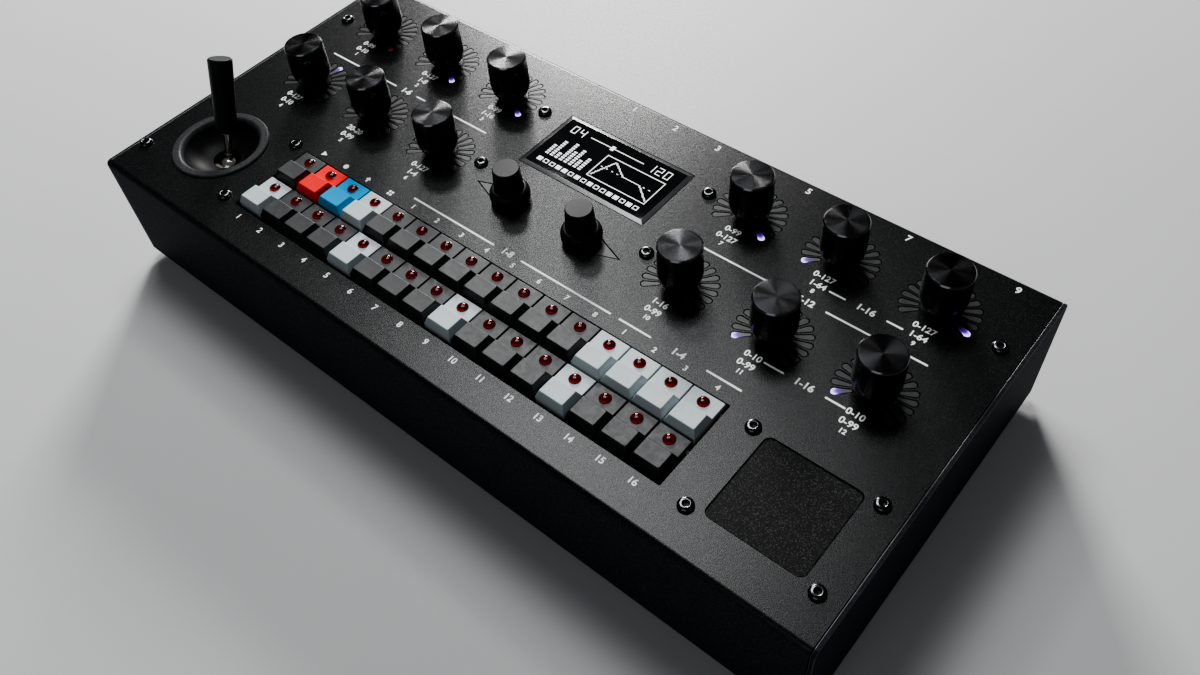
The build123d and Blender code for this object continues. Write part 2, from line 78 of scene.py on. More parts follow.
# ------------------------------------------------------------------ mesh helpers
class Geo:
    """Collects faces in panel millimetres, each with a material number."""

    def __init__(self):
        self.v, self.f, self.m = [], [], []

    def add(self, verts, faces, mat=0):
        base = len(self.v)
        self.v.extend(verts)
        for k, face in enumerate(faces):
            self.f.append([base + i for i in face])
            self.m.append(mat[k] if isinstance(mat, (list, tuple)) else mat)

    def rings(self, rings, mat=0, close=True, cap0=False, cap1=False, flip=False):
        """Joins equal-length closed rings by quads."""
        n = len(rings[0])
        verts = [p for ring in rings for p in ring]
        faces, mats = [], []
        for k in range(len(rings) - 1):
            mk = mat[k] if isinstance(mat, (list, tuple)) else mat
            for i in range(n if close else n - 1):
                j = (i + 1) % n
                faces.append([k * n + i, k * n + j, (k + 1) * n + j, (k + 1) * n + i])
                mats.append(mk)
        if cap0:
            faces.append(list(range(n))[::-1])
            mats.append(mat[0] if isinstance(mat, (list, tuple)) else mat)
        if cap1:
            o = (len(rings) - 1) * n
            faces.append(list(range(o, o + n)))
            mats.append(mat[-1] if isinstance(mat, (list, tuple)) else mat)
        if flip:
            faces = [f[::-1] for f in faces]
        self.add(verts, faces, mats)

    def lathe(self, prof, place, segs=64, mat=0, mats=None):
        """Turns (r, h) points; place maps (x, y, h) on the axis to panel mm.
        Points run from the bottom outwards and up, so faces look outwards."""
        verts, faces, fm = [], [], []
        index = []
        for r, h in prof:
            if r < 1e-6:
                index.append([len(verts)])
                verts.append(place(0, 0, h))
            else:
                index.append([len(verts) + i for i in range(segs)])
                verts += [place(r * math.cos(TAU * i / segs), r * math.sin(TAU * i / segs), h)
                          for i in range(segs)]
        for k in range(len(prof) - 1):
            a, b = index[k], index[k + 1]
            mk = mats[k] if mats else mat
            for i in range(segs):
                j = (i + 1) % segs
                if len(a) == 1 and len(b) == 1:
                    continue
                if len(a) == 1:
                    faces.append([a[0], b[j], b[i]])
                elif len(b) == 1:
                    faces.append([a[i], a[j], b[0]])
                else:
                    faces.append([a[i], a[j], b[j], b[i]])
                fm.append(mk)
        self.add(verts, faces, fm)

    def slab(self, outline, z0, z1, edge=0.15, seg=3, mat=0, top_mat=None, low=0.0):
        """Upright prism with a rounded top edge (and a bevelled lower one)."""
        rings = []
        if low > 0:
            rings.append([(x, y, z0) for x, y in inset(outline, low)])
            rings.append([(x, y, z0 + low) for x, y in outline])
        else:
            rings.append([(x, y, z0) for x, y in outline])
        for k in range(seg + 1):
            a = math.pi / 2 * k / seg
            o = inset(outline, edge * (1 - math.cos(a)))
            rings.append([(x, y, z1 - edge + edge * math.sin(a)) for x, y in o])
        tm = mat if top_mat is None else top_mat
        n = len(outline)
        self.rings(rings, mat=mat, cap0=True)
        self.add(rings[-1], [list(range(n))], tm)

    def mesh(self, name, mats, angle=35.0, merge=2e-7):
        me = bpy.data.meshes.new(name)
        me.from_pydata([P(*p) for p in self.v], [], self.f)
        for m in mats:
            me.materials.append(m)
        me.polygons.foreach_set("material_index", np.array(self.m, np.int32))
        bm = bmesh.new()
        bm.from_mesh(me)
        bmesh.ops.remove_doubles(bm, verts=bm.verts, dist=merge)
        bmesh.ops.recalc_face_normals(bm, faces=bm.faces)
        bm.to_mesh(me)
        bm.free()
        me.polygons.foreach_set("use_smooth", np.ones(len(me.polygons), bool))
        me.set_sharp_from_angle(angle=math.radians(angle))
        me.update()
        return me


def inset(outline, d):
    """Moves a counter-clockwise outline inwards by d."""
    if abs(d) < 1e-9:
        return list(outline)
    n, out = len(outline), []
    for i in range(n):
        a, b, c = outline[i - 1], outline[i], outline[(i + 1) % n]
        e1 = (b[0] - a[0], b[1] - a[1])
        e2 = (c[0] - b[0], c[1] - b[1])
        l1 = math.hypot(*e1) or 1e-9
        l2 = math.hypot(*e2) or 1e-9
        n1, n2 = (-e1[1] / l1, e1[0] / l1), (-e2[1] / l2, e2[0] / l2)
        s = (n1[0] + n2[0], n1[1] + n2[1])
        k = max(s[0] * s[0] + s[1] * s[1], 0.6)
        out.append((b[0] + 2 * d * s[0] / k, b[1] + 2 * d * s[1] / k))
    return out


def rrect(x0, x1, y0, y1, r, n=6):
    """Counter-clockwise rectangle with rounded corners."""
    pts = []
    for cx, cy, a0 in ((x1 - r, y0 + r, -90), (x1 - r, y1 - r, 0),
                       (x0 + r, y1 - r, 90), (x0 + r, y0 + r, 180)):
        for k in range(n + 1):
            a = math.radians(a0 + 90 * k / n)
            pts.append((cx + r * math.cos(a), cy + r * math.sin(a)))
    return pts


def circle(cx, cy, r, n=48, a0=0.0):
    return [(cx + r * math.cos(a0 + TAU * i / n), cy + r * math.sin(a0 + TAU * i / n)) for i in range(n)]


def polygon_ring(cx, cy, r, sides, n, a0=0.0):
    """n points spread along a regular polygon, starting on a corner."""
    per = n // sides
    pts = []
    for s in range(sides):
        p = (cx + r * math.cos(a0 + TAU * s / sides), cy + r * math.sin(a0 + TAU * s / sides))
        q = (cx + r * math.cos(a0 + TAU * (s + 1) / sides), cy + r * math.sin(a0 + TAU * (s + 1) / sides))
        for k in range(per):
            t = k / per
            pts.append((p[0] + (q[0] - p[0]) * t, p[1] + (q[1] - p[1]) * t))
    return pts


def soften(path, radius, n=4):
    """Rounds the inner corners of an open (r, h) path; radius is one number
    or one per inner point."""
    out = [path[0]]
    for i in range(1, len(path) - 1):
        r = radius[i - 1] if isinstance(radius, (list, tuple)) else radius
        a, b, c = (Vector(path[i - 1]), Vector(path[i]), Vector(path[i + 1]))
        u, v = (a - b), (c - b)
        lu, lv = u.length, v.length
        if r <= 0 or lu < 1e-6 or lv < 1e-6:
            out.append(path[i])
            continue
        u, v = u / lu, v / lv
        half = u.angle(v) / 2
        if half > math.pi / 2 - 0.01:
            out.append(path[i])
            continue
        t = min(r / math.tan(half), 0.45 * lu, 0.45 * lv)
        p, q = b + u * t, b + v * t
        for k in range(n + 1):
            s = k / n
            w = (1 - s) * (1 - s) * p + 2 * s * (1 - s) * b + s * s * q
            out.append((w.x, w.y))
    out.append(path[-1])
    return out


def petal_outline(cx, cy, deg, grow, n_out=14, n_in=8):
    """Tear shape lying outwards from a knob at angle deg."""
    r1, r0, ro, ri = 1.15 + grow, 0.55 + grow, 12.9, 7.7
    s = (r1 - r0) / (ro - ri)
    th = math.acos(s)
    pts = [(ro + r1 * math.cos(a), r1 * math.sin(a))
           for a in np.linspace(-th2(th), th2(th), n_out + 1)]
    pts += [(ri + r0 * math.cos(a), r0 * math.sin(a))
            for a in np.linspace(th2(th), TAU - th2(th), n_in + 1)]
    c, si = math.cos(math.radians(deg)), math.sin(math.radians(deg))
    return [(cx + x * c - y * si, cy + x * si + y * c) for x, y in pts]


def th2(th):
    return math.pi - th


def arrow_outline(cx, cy, sign, grow):
    k = 4.6 / (17.1 - 4.4)
    d = grow * math.sqrt(1 + k * k) / k
    x0, x1 = 4.4 - grow, 17.1 + d
    h = (x1 - x0) * k
    pts = [(x0, -h), (x1, 0.0), (x0, h)]
    return [(cx + sign * x, cy + sign * y) for x, y in pts]


def fill(outlines, z, name="fill"):
    """Triangulated flat sheet between an outer outline and its holes."""
    cu = bpy.data.curves.new(name, "CURVE")
    cu.dimensions = "2D"
    cu.fill_mode = "BOTH"
    for o in outlines:
        sp = cu.splines.new("POLY")
        sp.points.add(len(o) - 1)
        for p, (x, y) in zip(sp.points, o):
            p.co = (x, y, 0, 1)
        sp.use_cyclic_u = True
    ob = bpy.data.objects.new(name, cu)
    bpy.context.scene.collection.objects.link(ob)
    dg = bpy.context.evaluated_depsgraph_get()
    me = bpy.data.meshes.new_from_object(ob.evaluated_get(dg))
    verts = [(v.co.x, v.co.y, z) for v in me.vertices]
    faces = []
    for p in me.polygons:
        f = list(p.vertices)
        a, b, c = (verts[i] for i in f[:3])
        area = (b[0] - a[0]) * (c[1] - a[1]) - (b[1] - a[1]) * (c[0] - a[0])
        faces.append(f if area > 0 else f[::-1])
    bpy.data.objects.remove(ob)
    bpy.data.curves.remove(cu)
    bpy.data.meshes.remove(me)
    return verts, faces


def pierced(geo, outer, holes, z_top, z_low, edge, mat, place=None):
    """Plate with holes whose upper rims are broken by a small chamfer."""
    place = place or (lambda x, y, z: (x, y, z))
    tops = [inset(outer, edge)] + [inset(h, -edge) for h in holes]
    v, f = fill(tops, z_top)
    geo.add([place(*p) for p in v], f, mat)
    v, f = fill([outer] + holes, z_low)
    geo.add([place(*p) for p in v], [q[::-1] for q in f], mat)
    for full, top, is_hole in zip([outer] + holes, tops, [False] + [True] * len(holes)):
        geo.rings([[place(x, y, z_low) for x, y in full],
                   [place(x, y, z_top - edge) for x, y in full],
                   [place(x, y, z_top) for x, y in top]], mat=mat, flip=is_hole)


def put(name, mesh, body, replaces=(), modifiers=True):
    ob = bpy.data.objects.new(name, mesh)
    bpy.context.scene.collection.objects.link(ob)
    if modifiers:
        wn = ob.modifiers.new("flat faces", "WEIGHTED_NORMAL")
        wn.keep_sharp = True
        wn.weight = 80
    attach(ob, body)
    if replaces:
        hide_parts(*replaces)
    return ob


# ------------------------------------------------------------------ materials
class Mat:
    """Small helper around a material's node tree."""

    def __init__(self, name):
        self.mat = bpy.data.materials.new(name)
        self.mat.use_nodes = True
        self.t = self.mat.node_tree
        self.t.nodes.clear()
        self.out = self.t.nodes.new("ShaderNodeOutputMaterial")
        self.coord = self.t.nodes.new("ShaderNodeTexCoord")

    def n(self, kind, **kw):
        node = self.t.nodes.new("ShaderNode" + kind)
        for k, v in kw.items():
            setattr(node, k, v)
        return node

    def link(self, a, b):
        self.t.links.new(a, b)

    def noise(self, scale, detail=3.0, rough=0.5, vec=None, distort=0.0):
        t = self.n("TexNoise")
        t.inputs["Scale"].default_value = scale
        t.inputs["Detail"].default_value = detail
        t.inputs["Roughness"].default_value = rough
        t.inputs["Distortion"].default_value = distort
        self.link(vec or self.coord.outputs["Object"], t.inputs["Vector"])
        return t.outputs["Fac"]

    def voronoi(self, scale, feature="F1", vec=None, out="Distance"):
        t = self.n("TexVoronoi", feature=feature)
        t.inputs["Scale"].default_value = scale
        self.link(vec or self.coord.outputs["Object"], t.inputs["Vector"])
        return t.outputs[out]

    def ramp(self, fac, stops, mode="LINEAR"):
        r = self.n("ValToRGB")
        r.color_ramp.interpolation = mode
        el = r.color_ramp.elements
        while len(el) < len(stops):
            el.new(0.5)
        for e, (pos, col) in zip(el, stops):
            e.position = pos
            e.color = (*col, 1) if isinstance(col, (tuple, list)) else (col, col, col, 1)
        self.link(fac, r.inputs["Fac"])
        return r.outputs["Color"]

    def map(self, val, a, b, c, d, smooth=False):
        m = self.n("MapRange")
        m.interpolation_type = "SMOOTHSTEP" if smooth else "LINEAR"
        for k, x in zip(("From Min", "From Max", "To Min", "To Max"), (a, b, c, d)):
            m.inputs[k].default_value = x
        self.link(val, m.inputs["Value"])
        return m.outputs["Result"]

    def math(self, op, a, b=None):
        m = self.n("Math", operation=op)
        for k, x in enumerate((a, b)):
            if x is None:
                continue
            if isinstance(x, (int, float)):
                m.inputs[k].default_value = x
            else:
                self.link(x, m.inputs[k])
        return m.outputs["Value"]

    def mix(self, fac, a, b, blend="MIX"):
        m = self.n("Mix", data_type="RGBA", blend_type=blend)
        if isinstance(fac, (int, float)):
            m.inputs["Factor"].default_value = fac
        else:
            self.link(fac, m.inputs["Factor"])
        for k, x in ((6, a), (7, b)):
            if isinstance(x, (tuple, list)):
                m.inputs[k].default_value = (*x, 1)
            else:
                self.link(x, m.inputs[k])
        return m.outputs[2]

    def bump(self, height, strength, distance, normal=None):
        b = self.n("Bump")
        b.inputs["Strength"].default_value = strength
        b.inputs["Distance"].default_value = distance
        self.link(height, b.inputs["Height"])
        if normal:
            self.link(normal, b.inputs["Normal"])
        return b.outputs["Normal"]

    def shader(self, color=None, rough=None, normal=None, **sockets):
        s = self.n("BsdfPrincipled")
        for val, key in ((color, "Base Color"), (rough, "Roughness"), (normal, "Normal")):
            if val is None:
                continue
            if isinstance(val, (tuple, list)):
                s.inputs[key].default_value = (*val, 1)
            elif isinstance(val, (int, float)):
                s.inputs[key].default_value = val
            else:
                self.link(val, s.inputs[key])
        for key, val in sockets.items():
            sock = s.inputs[key.replace("_", " ")]
            if isinstance(val, (int, float)):
                sock.default_value = val
            elif isinstance(val, (tuple, list)):
                sock.default_value = (*val, 1) if len(val) == 3 and sock.type == "RGBA" else val
            else:
                self.link(val, sock)
        self.link(s.outputs["BSDF"], self.out.inputs["Surface"])
        return s


def powder(name, base, rough, grain=2500.0, level=0.4, relief=0.7, painted_glint=0.012):
    """Fine-textured powder coat: an even colour over a pebbled grain, with bright flecks painted into the colour as
    glints.
    """
    m = Mat(name)
    fine = m.noise(grain, 2.0, 0.55)
    cell = m.n("SeparateColor")
    m.link(m.voronoi(grain * 1.05, out="Color"), cell.inputs[0])
    broad = m.noise(16.0, 3.0, 0.55)
    nrm = m.bump(fine, relief, 0.00013)
    # bright flecks in random cells: glints painted into the base colour
    speck = m.map(cell.outputs[0], 0.80, 0.97, 0.0, 1.0, True)
    col = m.mix(broad, tuple(c * 0.90 for c in base), tuple(c * 1.10 for c in base))
    col = m.mix(m.math("MULTIPLY", speck, 0.6), col, tuple(c * 3.0 + painted_glint for c in base))
    rgh = m.math("ADD", m.map(cell.outputs[1], 0.0, 1.0, rough - 0.035, rough + 0.035),
                 m.map(broad, 0.3, 0.7, -0.015, 0.015))
    s = m.shader(col, rgh, nrm, IOR=1.5)
    s.inputs["Specular IOR Level"].default_value = level
    return m.mat


def plastic(name, base, rough=0.42, sss=0.0, mottle=0.10, dirt=0.12, level=0.5):
    """Moulded key plastic: faint spark-eroded grain, slight colour drift."""
    m = Mat(name)
    fine = m.noise(3800.0, 2.0, 0.6)
    soft = m.noise(90.0, 3.0, 0.55)
    streak = m.noise(420.0, 4.0, 0.65)
    nrm = m.bump(fine, 0.22, 0.00004)
    lo = tuple(c * (1 - mottle) for c in base)
    hi = tuple(min(1, c * (1 + mottle * 0.6)) for c in base)
    col = m.mix(soft, lo, hi)
    grime = m.map(streak, 0.56, 0.80, 0.0, dirt, True)
    col = m.mix(grime, col, tuple(c * 0.62 for c in base))
    rgh = m.map(streak, 0.3, 0.7, rough - 0.06, rough + 0.08)
    extra = {}
    if sss:
        extra = {"Subsurface_Weight": sss, "Subsurface_Radius": (0.9, 0.7, 0.6), "Subsurface_Scale": 0.0012}
    s = m.shader(col, rgh, nrm, IOR=1.5, **{k: v for k, v in extra.items() if k != "Subsurface_Radius"})
    s.inputs["Specular IOR Level"].default_value = level
    if sss:
        s.inputs["Subsurface Radius"].default_value = extra["Subsurface_Radius"]
    return m.mat


def rubber(name, base, rough=0.62, grain=2400.0, level=0.5, speck=0.25):
    m = Mat(name)
    fine = m.noise(grain, 3.0, 0.6)
    soft = m.noise(60.0, 3.0, 0.5)
    nrm = m.bump(fine, 0.30, 0.00005)
    col = m.mix(soft, tuple(c * 0.8 for c in base), tuple(c * 1.25 for c in base))
    dust = m.map(m.noise(900.0, 2.0, 0.7), 0.66, 0.82, 0.0, speck, True)
    col = m.mix(dust, col, tuple(min(1, c * 2.2 + 0.01) for c in base))
    rgh = m.map(soft, 0.3, 0.7, rough - 0.05, rough + 0.08)
    s = m.shader(col, rgh, nrm, IOR=1.48)
    s.inputs["Specular IOR Level"].default_value = level
    return m.mat


def metal(name, base, rough, aniso=0.0, scratch=0.25, turned=False, metallic=1.0, level=0.5, grain=0.06):
    """Machined metal; turned adds lathe rings round the piece's own axis, and
    aniso stretches the highlight across them as on a faced disc."""
    m = Mat(name)
    fine = m.noise(1700.0, 3.0, 0.6)
    soft = m.noise(120.0, 2.0, 0.5)
    tone = soft
    if turned:
        sep = m.n("SeparateXYZ")
        m.link(m.coord.outputs["Object"], sep.inputs[0])
        rad = m.math("SQRT", m.math("ADD", m.math("MULTIPLY", sep.outputs[0], sep.outputs[0]),
                                    m.math("MULTIPLY", sep.outputs[1], sep.outputs[1])))
        comb = m.n("CombineXYZ")
        m.link(rad, comb.inputs[0])
        m.link(m.math("MULTIPLY", sep.outputs[2], 0.35), comb.inputs[1])
        tone = m.noise(5200.0, 3.0, 0.7, vec=comb.outputs[0])
    col = m.mix(tone, tuple(c * 0.80 for c in base), tuple(min(1, c * 1.18) for c in base))
    rgh = m.map(tone, 0.3, 0.7, rough * (1 - scratch), rough * (1 + scratch))
    nrm = m.bump(tone if turned else fine, grain, 0.00002)
    extra = {}
    if aniso:
        tan = m.n("Tangent", direction_type="RADIAL", axis="Z")
        extra = {"Anisotropic": aniso, "Anisotropic_Rotation": 0.25, "Tangent": tan.outputs["Tangent"]}
    s = m.shader(col, rgh, nrm, Metallic=metallic, **extra)
    s.inputs["Specular IOR Level"].default_value = level
    return m.mat


def faced(name, base, rough, slope, pitch, aniso):
    """Faced metal disc: fine lathe grooves round the piece's own axis lean the
    normal in and out, so light gathers in a wedge across them."""
    m = Mat(name)
    sep = m.n("SeparateXYZ")
    m.link(m.coord.outputs["Object"], sep.inputs[0])
    rad = m.math("SQRT", m.math("ADD", m.math("MULTIPLY", sep.outputs[0], sep.outputs[0]),
                                m.math("MULTIPLY", sep.outputs[1], sep.outputs[1])))
    comb = m.n("CombineXYZ")
    m.link(rad, comb.inputs[0])
    tone = m.noise(5200.0, 3.0, 0.7, vec=comb.outputs[0])
    wave = m.math("SINE", m.math("ADD", m.math("MULTIPLY", rad, TAU / pitch), m.math("MULTIPLY", tone, 5.0)))
    lean = m.math("MULTIPLY", wave, m.map(tone, 0.3, 0.7, 0.85 * slope, 1.1 * slope))
    geo = m.n("NewGeometry")
    tan = m.n("Tangent", direction_type="RADIAL", axis="Z")
    out = m.n("VectorMath", operation="CROSS_PRODUCT")
    m.link(tan.outputs["Tangent"], out.inputs[0])
    m.link(geo.outputs["Normal"], out.inputs[1])
    step = m.n("VectorMath", operation="SCALE")
    m.link(out.outputs["Vector"], step.inputs[0])
    m.link(lean, step.inputs["Scale"])
    add = m.n("VectorMath", operation="ADD")
    m.link(geo.outputs["Normal"], add.inputs[0])
    m.link(step.outputs["Vector"], add.inputs[1])
    unit = m.n("VectorMath", operation="NORMALIZE")
    m.link(add.outputs["Vector"], unit.inputs[0])
    col = m.mix(tone, tuple(c * 0.80 for c in base), tuple(min(1, c * 1.18) for c in base))
    m.shader(col, m.map(tone, 0.3, 0.7, rough * 0.9, rough * 1.1), unit.outputs["Vector"], Metallic=1.0,
             Anisotropic=aniso, Anisotropic_Rotation=0.25, Tangent=tan.outputs["Tangent"])
    return m.mat


M = {}
M["case"] = powder("case_powder_coat", (0.0032, 0.0034, 0.0037), 0.272, grain=3300.0, level=0.27, relief=0.32, painted_glint=0.020)
# Copy of the case coat for walls, hole sides and the tray: the same paint with a lighter colour and almost no sheen,
# painted to set how light their shade reads
M["wall"] = powder("case_coat_wall_shade_copy", (0.0165, 0.0178, 0.0215), 0.60, grain=2600.0, level=0.02, relief=0.4)
# Rounded tops of the tray's side walls: the coat with the wall copy's lighter colour and a smooth, glossy finish, so
# they show as a bright line; the smoothing is a real finish, the lighter colour is a painted highlight
M["edge"] = powder("case_edge_highlight_coat", (0.016, 0.0165, 0.017), 0.30, level=0.5, relief=0.2)
M["print"] = plastic("panel_print", (0.94, 0.95, 0.95), 0.60, mottle=0.04, dirt=0.06)
M["white"] = plastic("key_white", (0.48, 0.54, 0.56), 0.46, sss=0.06, mottle=0.04, dirt=0.08)
M["dark"] = plastic("key_dark", (0.0120, 0.0135, 0.0146), 0.44, mottle=0.08, dirt=0.10, level=0.40)
M["red"] = plastic("key_red", (0.90, 0.010, 0.010), 0.50, sss=0.04, mottle=0.05, dirt=0.08, level=0.12)
M["blue"] = plastic("key_blue", (0.000, 0.33, 0.65), 0.55, sss=0.04, mottle=0.05, dirt=0.08, level=0.05)
M["knob_side"] = metal("knob_side", (0.0030, 0.0030, 0.0033), 0.27, scratch=0.1, turned=True, metallic=0.0, level=0.28, grain=0.02)
M["knob_top"] = faced("knob_top", (0.016, 0.016, 0.017), 0.235, 0.165, 0.00013, 0.60)
M["knob_rim"] = metal("knob_rim", (0.14, 0.14, 0.145), 0.16, scratch=0.2, turned=True)
M["steel"] = metal("black_steel", (0.085, 0.085, 0.088), 0.17, scratch=0.3)
# lighter copy of the screw steel for the ring round the socket mouth: a painted highlight ring
M["screw_rim_painted_highlight"] = metal("screw_rim_painted_highlight", (0.30, 0.30, 0.31), 0.24, scratch=0.3)
M["grub"] = metal("grub_steel", (0.62, 0.62, 0.62), 0.20, scratch=0.3)
# darker copy of the steel for hex sockets and drilled holes: painted shade in the recess
M["socket_painted_shade"] = metal("socket_painted_shade", (0.012, 0.012, 0.013), 0.45, scratch=0.3)
M["nickel"] = metal("joystick_nickel", (0.60, 0.56, 0.50), 0.14, scratch=0.35)
M["ball"] = metal("joystick_ball", (0.90, 0.86, 0.78), 0.21, scratch=0.25)
M["zinc"] = metal("nut_zinc", (0.42, 0.42, 0.42), 0.26, scratch=0.35)
M["pot"] = rubber("pot_soft_black", (0.0040, 0.0040, 0.0043), 0.44, level=0.24)
M["sleeve"] = rubber("stick_sleeve", (0.0034, 0.0036, 0.0042), 0.42, level=0.20)
M["pad"] = powder("pad_rubber", (0.0034, 0.0034, 0.0036), 0.50, grain=3600.0, level=0.10, relief=0.5, painted_glint=0.085)
M["foot"] = rubber("foot_rubber", (0.014, 0.014, 0.014), 0.75)
M["bowl"] = rubber("bowl_plastic", (0.0075, 0.0075, 0.0079), 0.46, level=0.09)
M["flange"] = powder("flange_satin", (0.032, 0.0325, 0.0340), 0.42, grain=3200.0, level=0.10, relief=0.35)
M["socket"] = rubber("socket_plastic", (0.012, 0.012, 0.013), 0.40)


def lamp_mat():
    """Red lamp dome: dark in the middle, with a glow painted into its colour and emission round its front foot,
    standing in for light refracted through the dome.
    """
    m = Mat("lamp_red")
    geo = m.n("NewGeometry")
    dot = m.n("VectorMath", operation="DOT_PRODUCT")
    m.link(geo.outputs["Normal"], dot.inputs[0])
    # fixed direction towards the front and down: the dome's faces turned that way get the painted glow
    dot.inputs[1].default_value = (0.30, -0.72, -0.35)
    soft = m.noise(900.0, 2.0, 0.5)
    painted_glow = m.map(dot.outputs["Value"], -0.05, 0.62, 0.0, 1.0, True)
    deep = m.mix(soft, (0.050, 0.0010, 0.0015), (0.075, 0.0016, 0.0022))
    col = m.mix(painted_glow, deep, (0.40, 0.007, 0.010))
    s = m.shader(col, m.map(soft, 0.3, 0.7, 0.04, 0.08), None, IOR=1.5,
                 Emission_Color=m.mix(painted_glow, (0.0, 0.0, 0.0), (0.45, 0.006, 0.010)), Emission_Strength=0.22)
    s.inputs["Specular IOR Level"].default_value = 0.20
    return m.mat


M["lamp"] = lamp_mat()


def guide_mat():
    """Smoked light-guide plastic with a soft inner gradient."""
    m = Mat("light_guide")
    soft = m.noise(260.0, 3.0, 0.6)
    fine = m.noise(2600.0, 2.0, 0.5)
    col = m.mix(soft, (0.026, 0.0264, 0.0275), (0.037, 0.0374, 0.0385))
    nrm = m.bump(fine, 0.2, 0.00004)
    s = m.shader(col, m.map(soft, 0.3, 0.7, 0.29, 0.35), nrm, IOR=1.52)
    s.inputs["Specular IOR Level"].default_value = 0.30
    return m.mat


def lit_mat(name, tint, core, strength):
    """A window lit from its outer end: bright core, fading towards the knob."""
    m = Mat(name)
    at = m.n("Attribute", attribute_name="glow")
    soft = m.noise(900.0, 2.0, 0.5)
    g = at.outputs["Fac"]
    col = m.mix(m.map(g, 0.70, 1.0, 0.0, 1.0, True), tint, core)
    amt = m.math("MULTIPLY", m.math("POWER", g, 4.0), m.map(soft, 0.3, 0.7, 0.85 * strength, 1.1 * strength))
    m.shader((0.035, 0.030, 0.045), 0.35, None, Emission_Color=col, Emission_Strength=amt)
    return m.mat


def pixel_mat():
    m = Mat("display_pixels")
    soft = m.noise(1400.0, 2.0, 0.5)
    col = m.mix(soft, (0.80, 0.84, 0.88), (0.95, 0.97, 1.0))
    m.shader((0.5, 0.5, 0.5), 0.35, None, Emission_Color=col, Emission_Strength=0.80)
    return m.mat


M["guide"] = guide_mat()
M["violet"] = lit_mat("light_violet", (0.16, 0.04, 0.62), (0.66, 0.50, 1.0), 2.2)
M["dim_red"] = lit_mat("light_dim_red", (0.50, 0.03, 0.03), (0.60, 0.08, 0.07), 0.12)
M["pixels"] = pixel_mat()


def glass_mat():
    m = Mat("display_glass")
    smear = m.noise(38.0, 4.0, 0.6, distort=0.6)
    dust = m.map(m.noise(2200.0, 1.0, 0.5), 0.72, 0.80, 0.0, 0.3, True)
    col = m.mix(dust, (0.0035, 0.0037, 0.0042), (0.05, 0.05, 0.052))
    m.shader(col, m.map(smear, 0.35, 0.7, 0.04, 0.08), None, IOR=1.5)
    return m.mat


def bevel_mat():
    m = Mat("window_bevel")
    fine = m.noise(1800.0, 2.0, 0.5)
    soft = m.noise(70.0, 3.0, 0.5)
    col = m.mix(soft, (0.030, 0.031, 0.033), (0.045, 0.046, 0.049))
    nrm = m.bump(fine, 0.10, 0.00002)
    m.shader(col, m.map(soft, 0.3, 0.7, 0.17, 0.25), nrm, IOR=1.6)
    return m.mat


def board_mat():
    m = Mat("circuit_board")
    soft = m.noise(40.0, 3.0, 0.5)
    fine = m.noise(900.0, 2.0, 0.5)
    col = m.mix(soft, (0.006, 0.030, 0.016), (0.012, 0.055, 0.028))
    m.shader(col, m.map(fine, 0.3, 0.7, 0.28, 0.42), m.bump(fine, 0.15, 0.00004), IOR=1.5)
    return m.mat


M["glass"], M["bevel"], M["board"] = glass_mat(), bevel_mat(), board_mat()


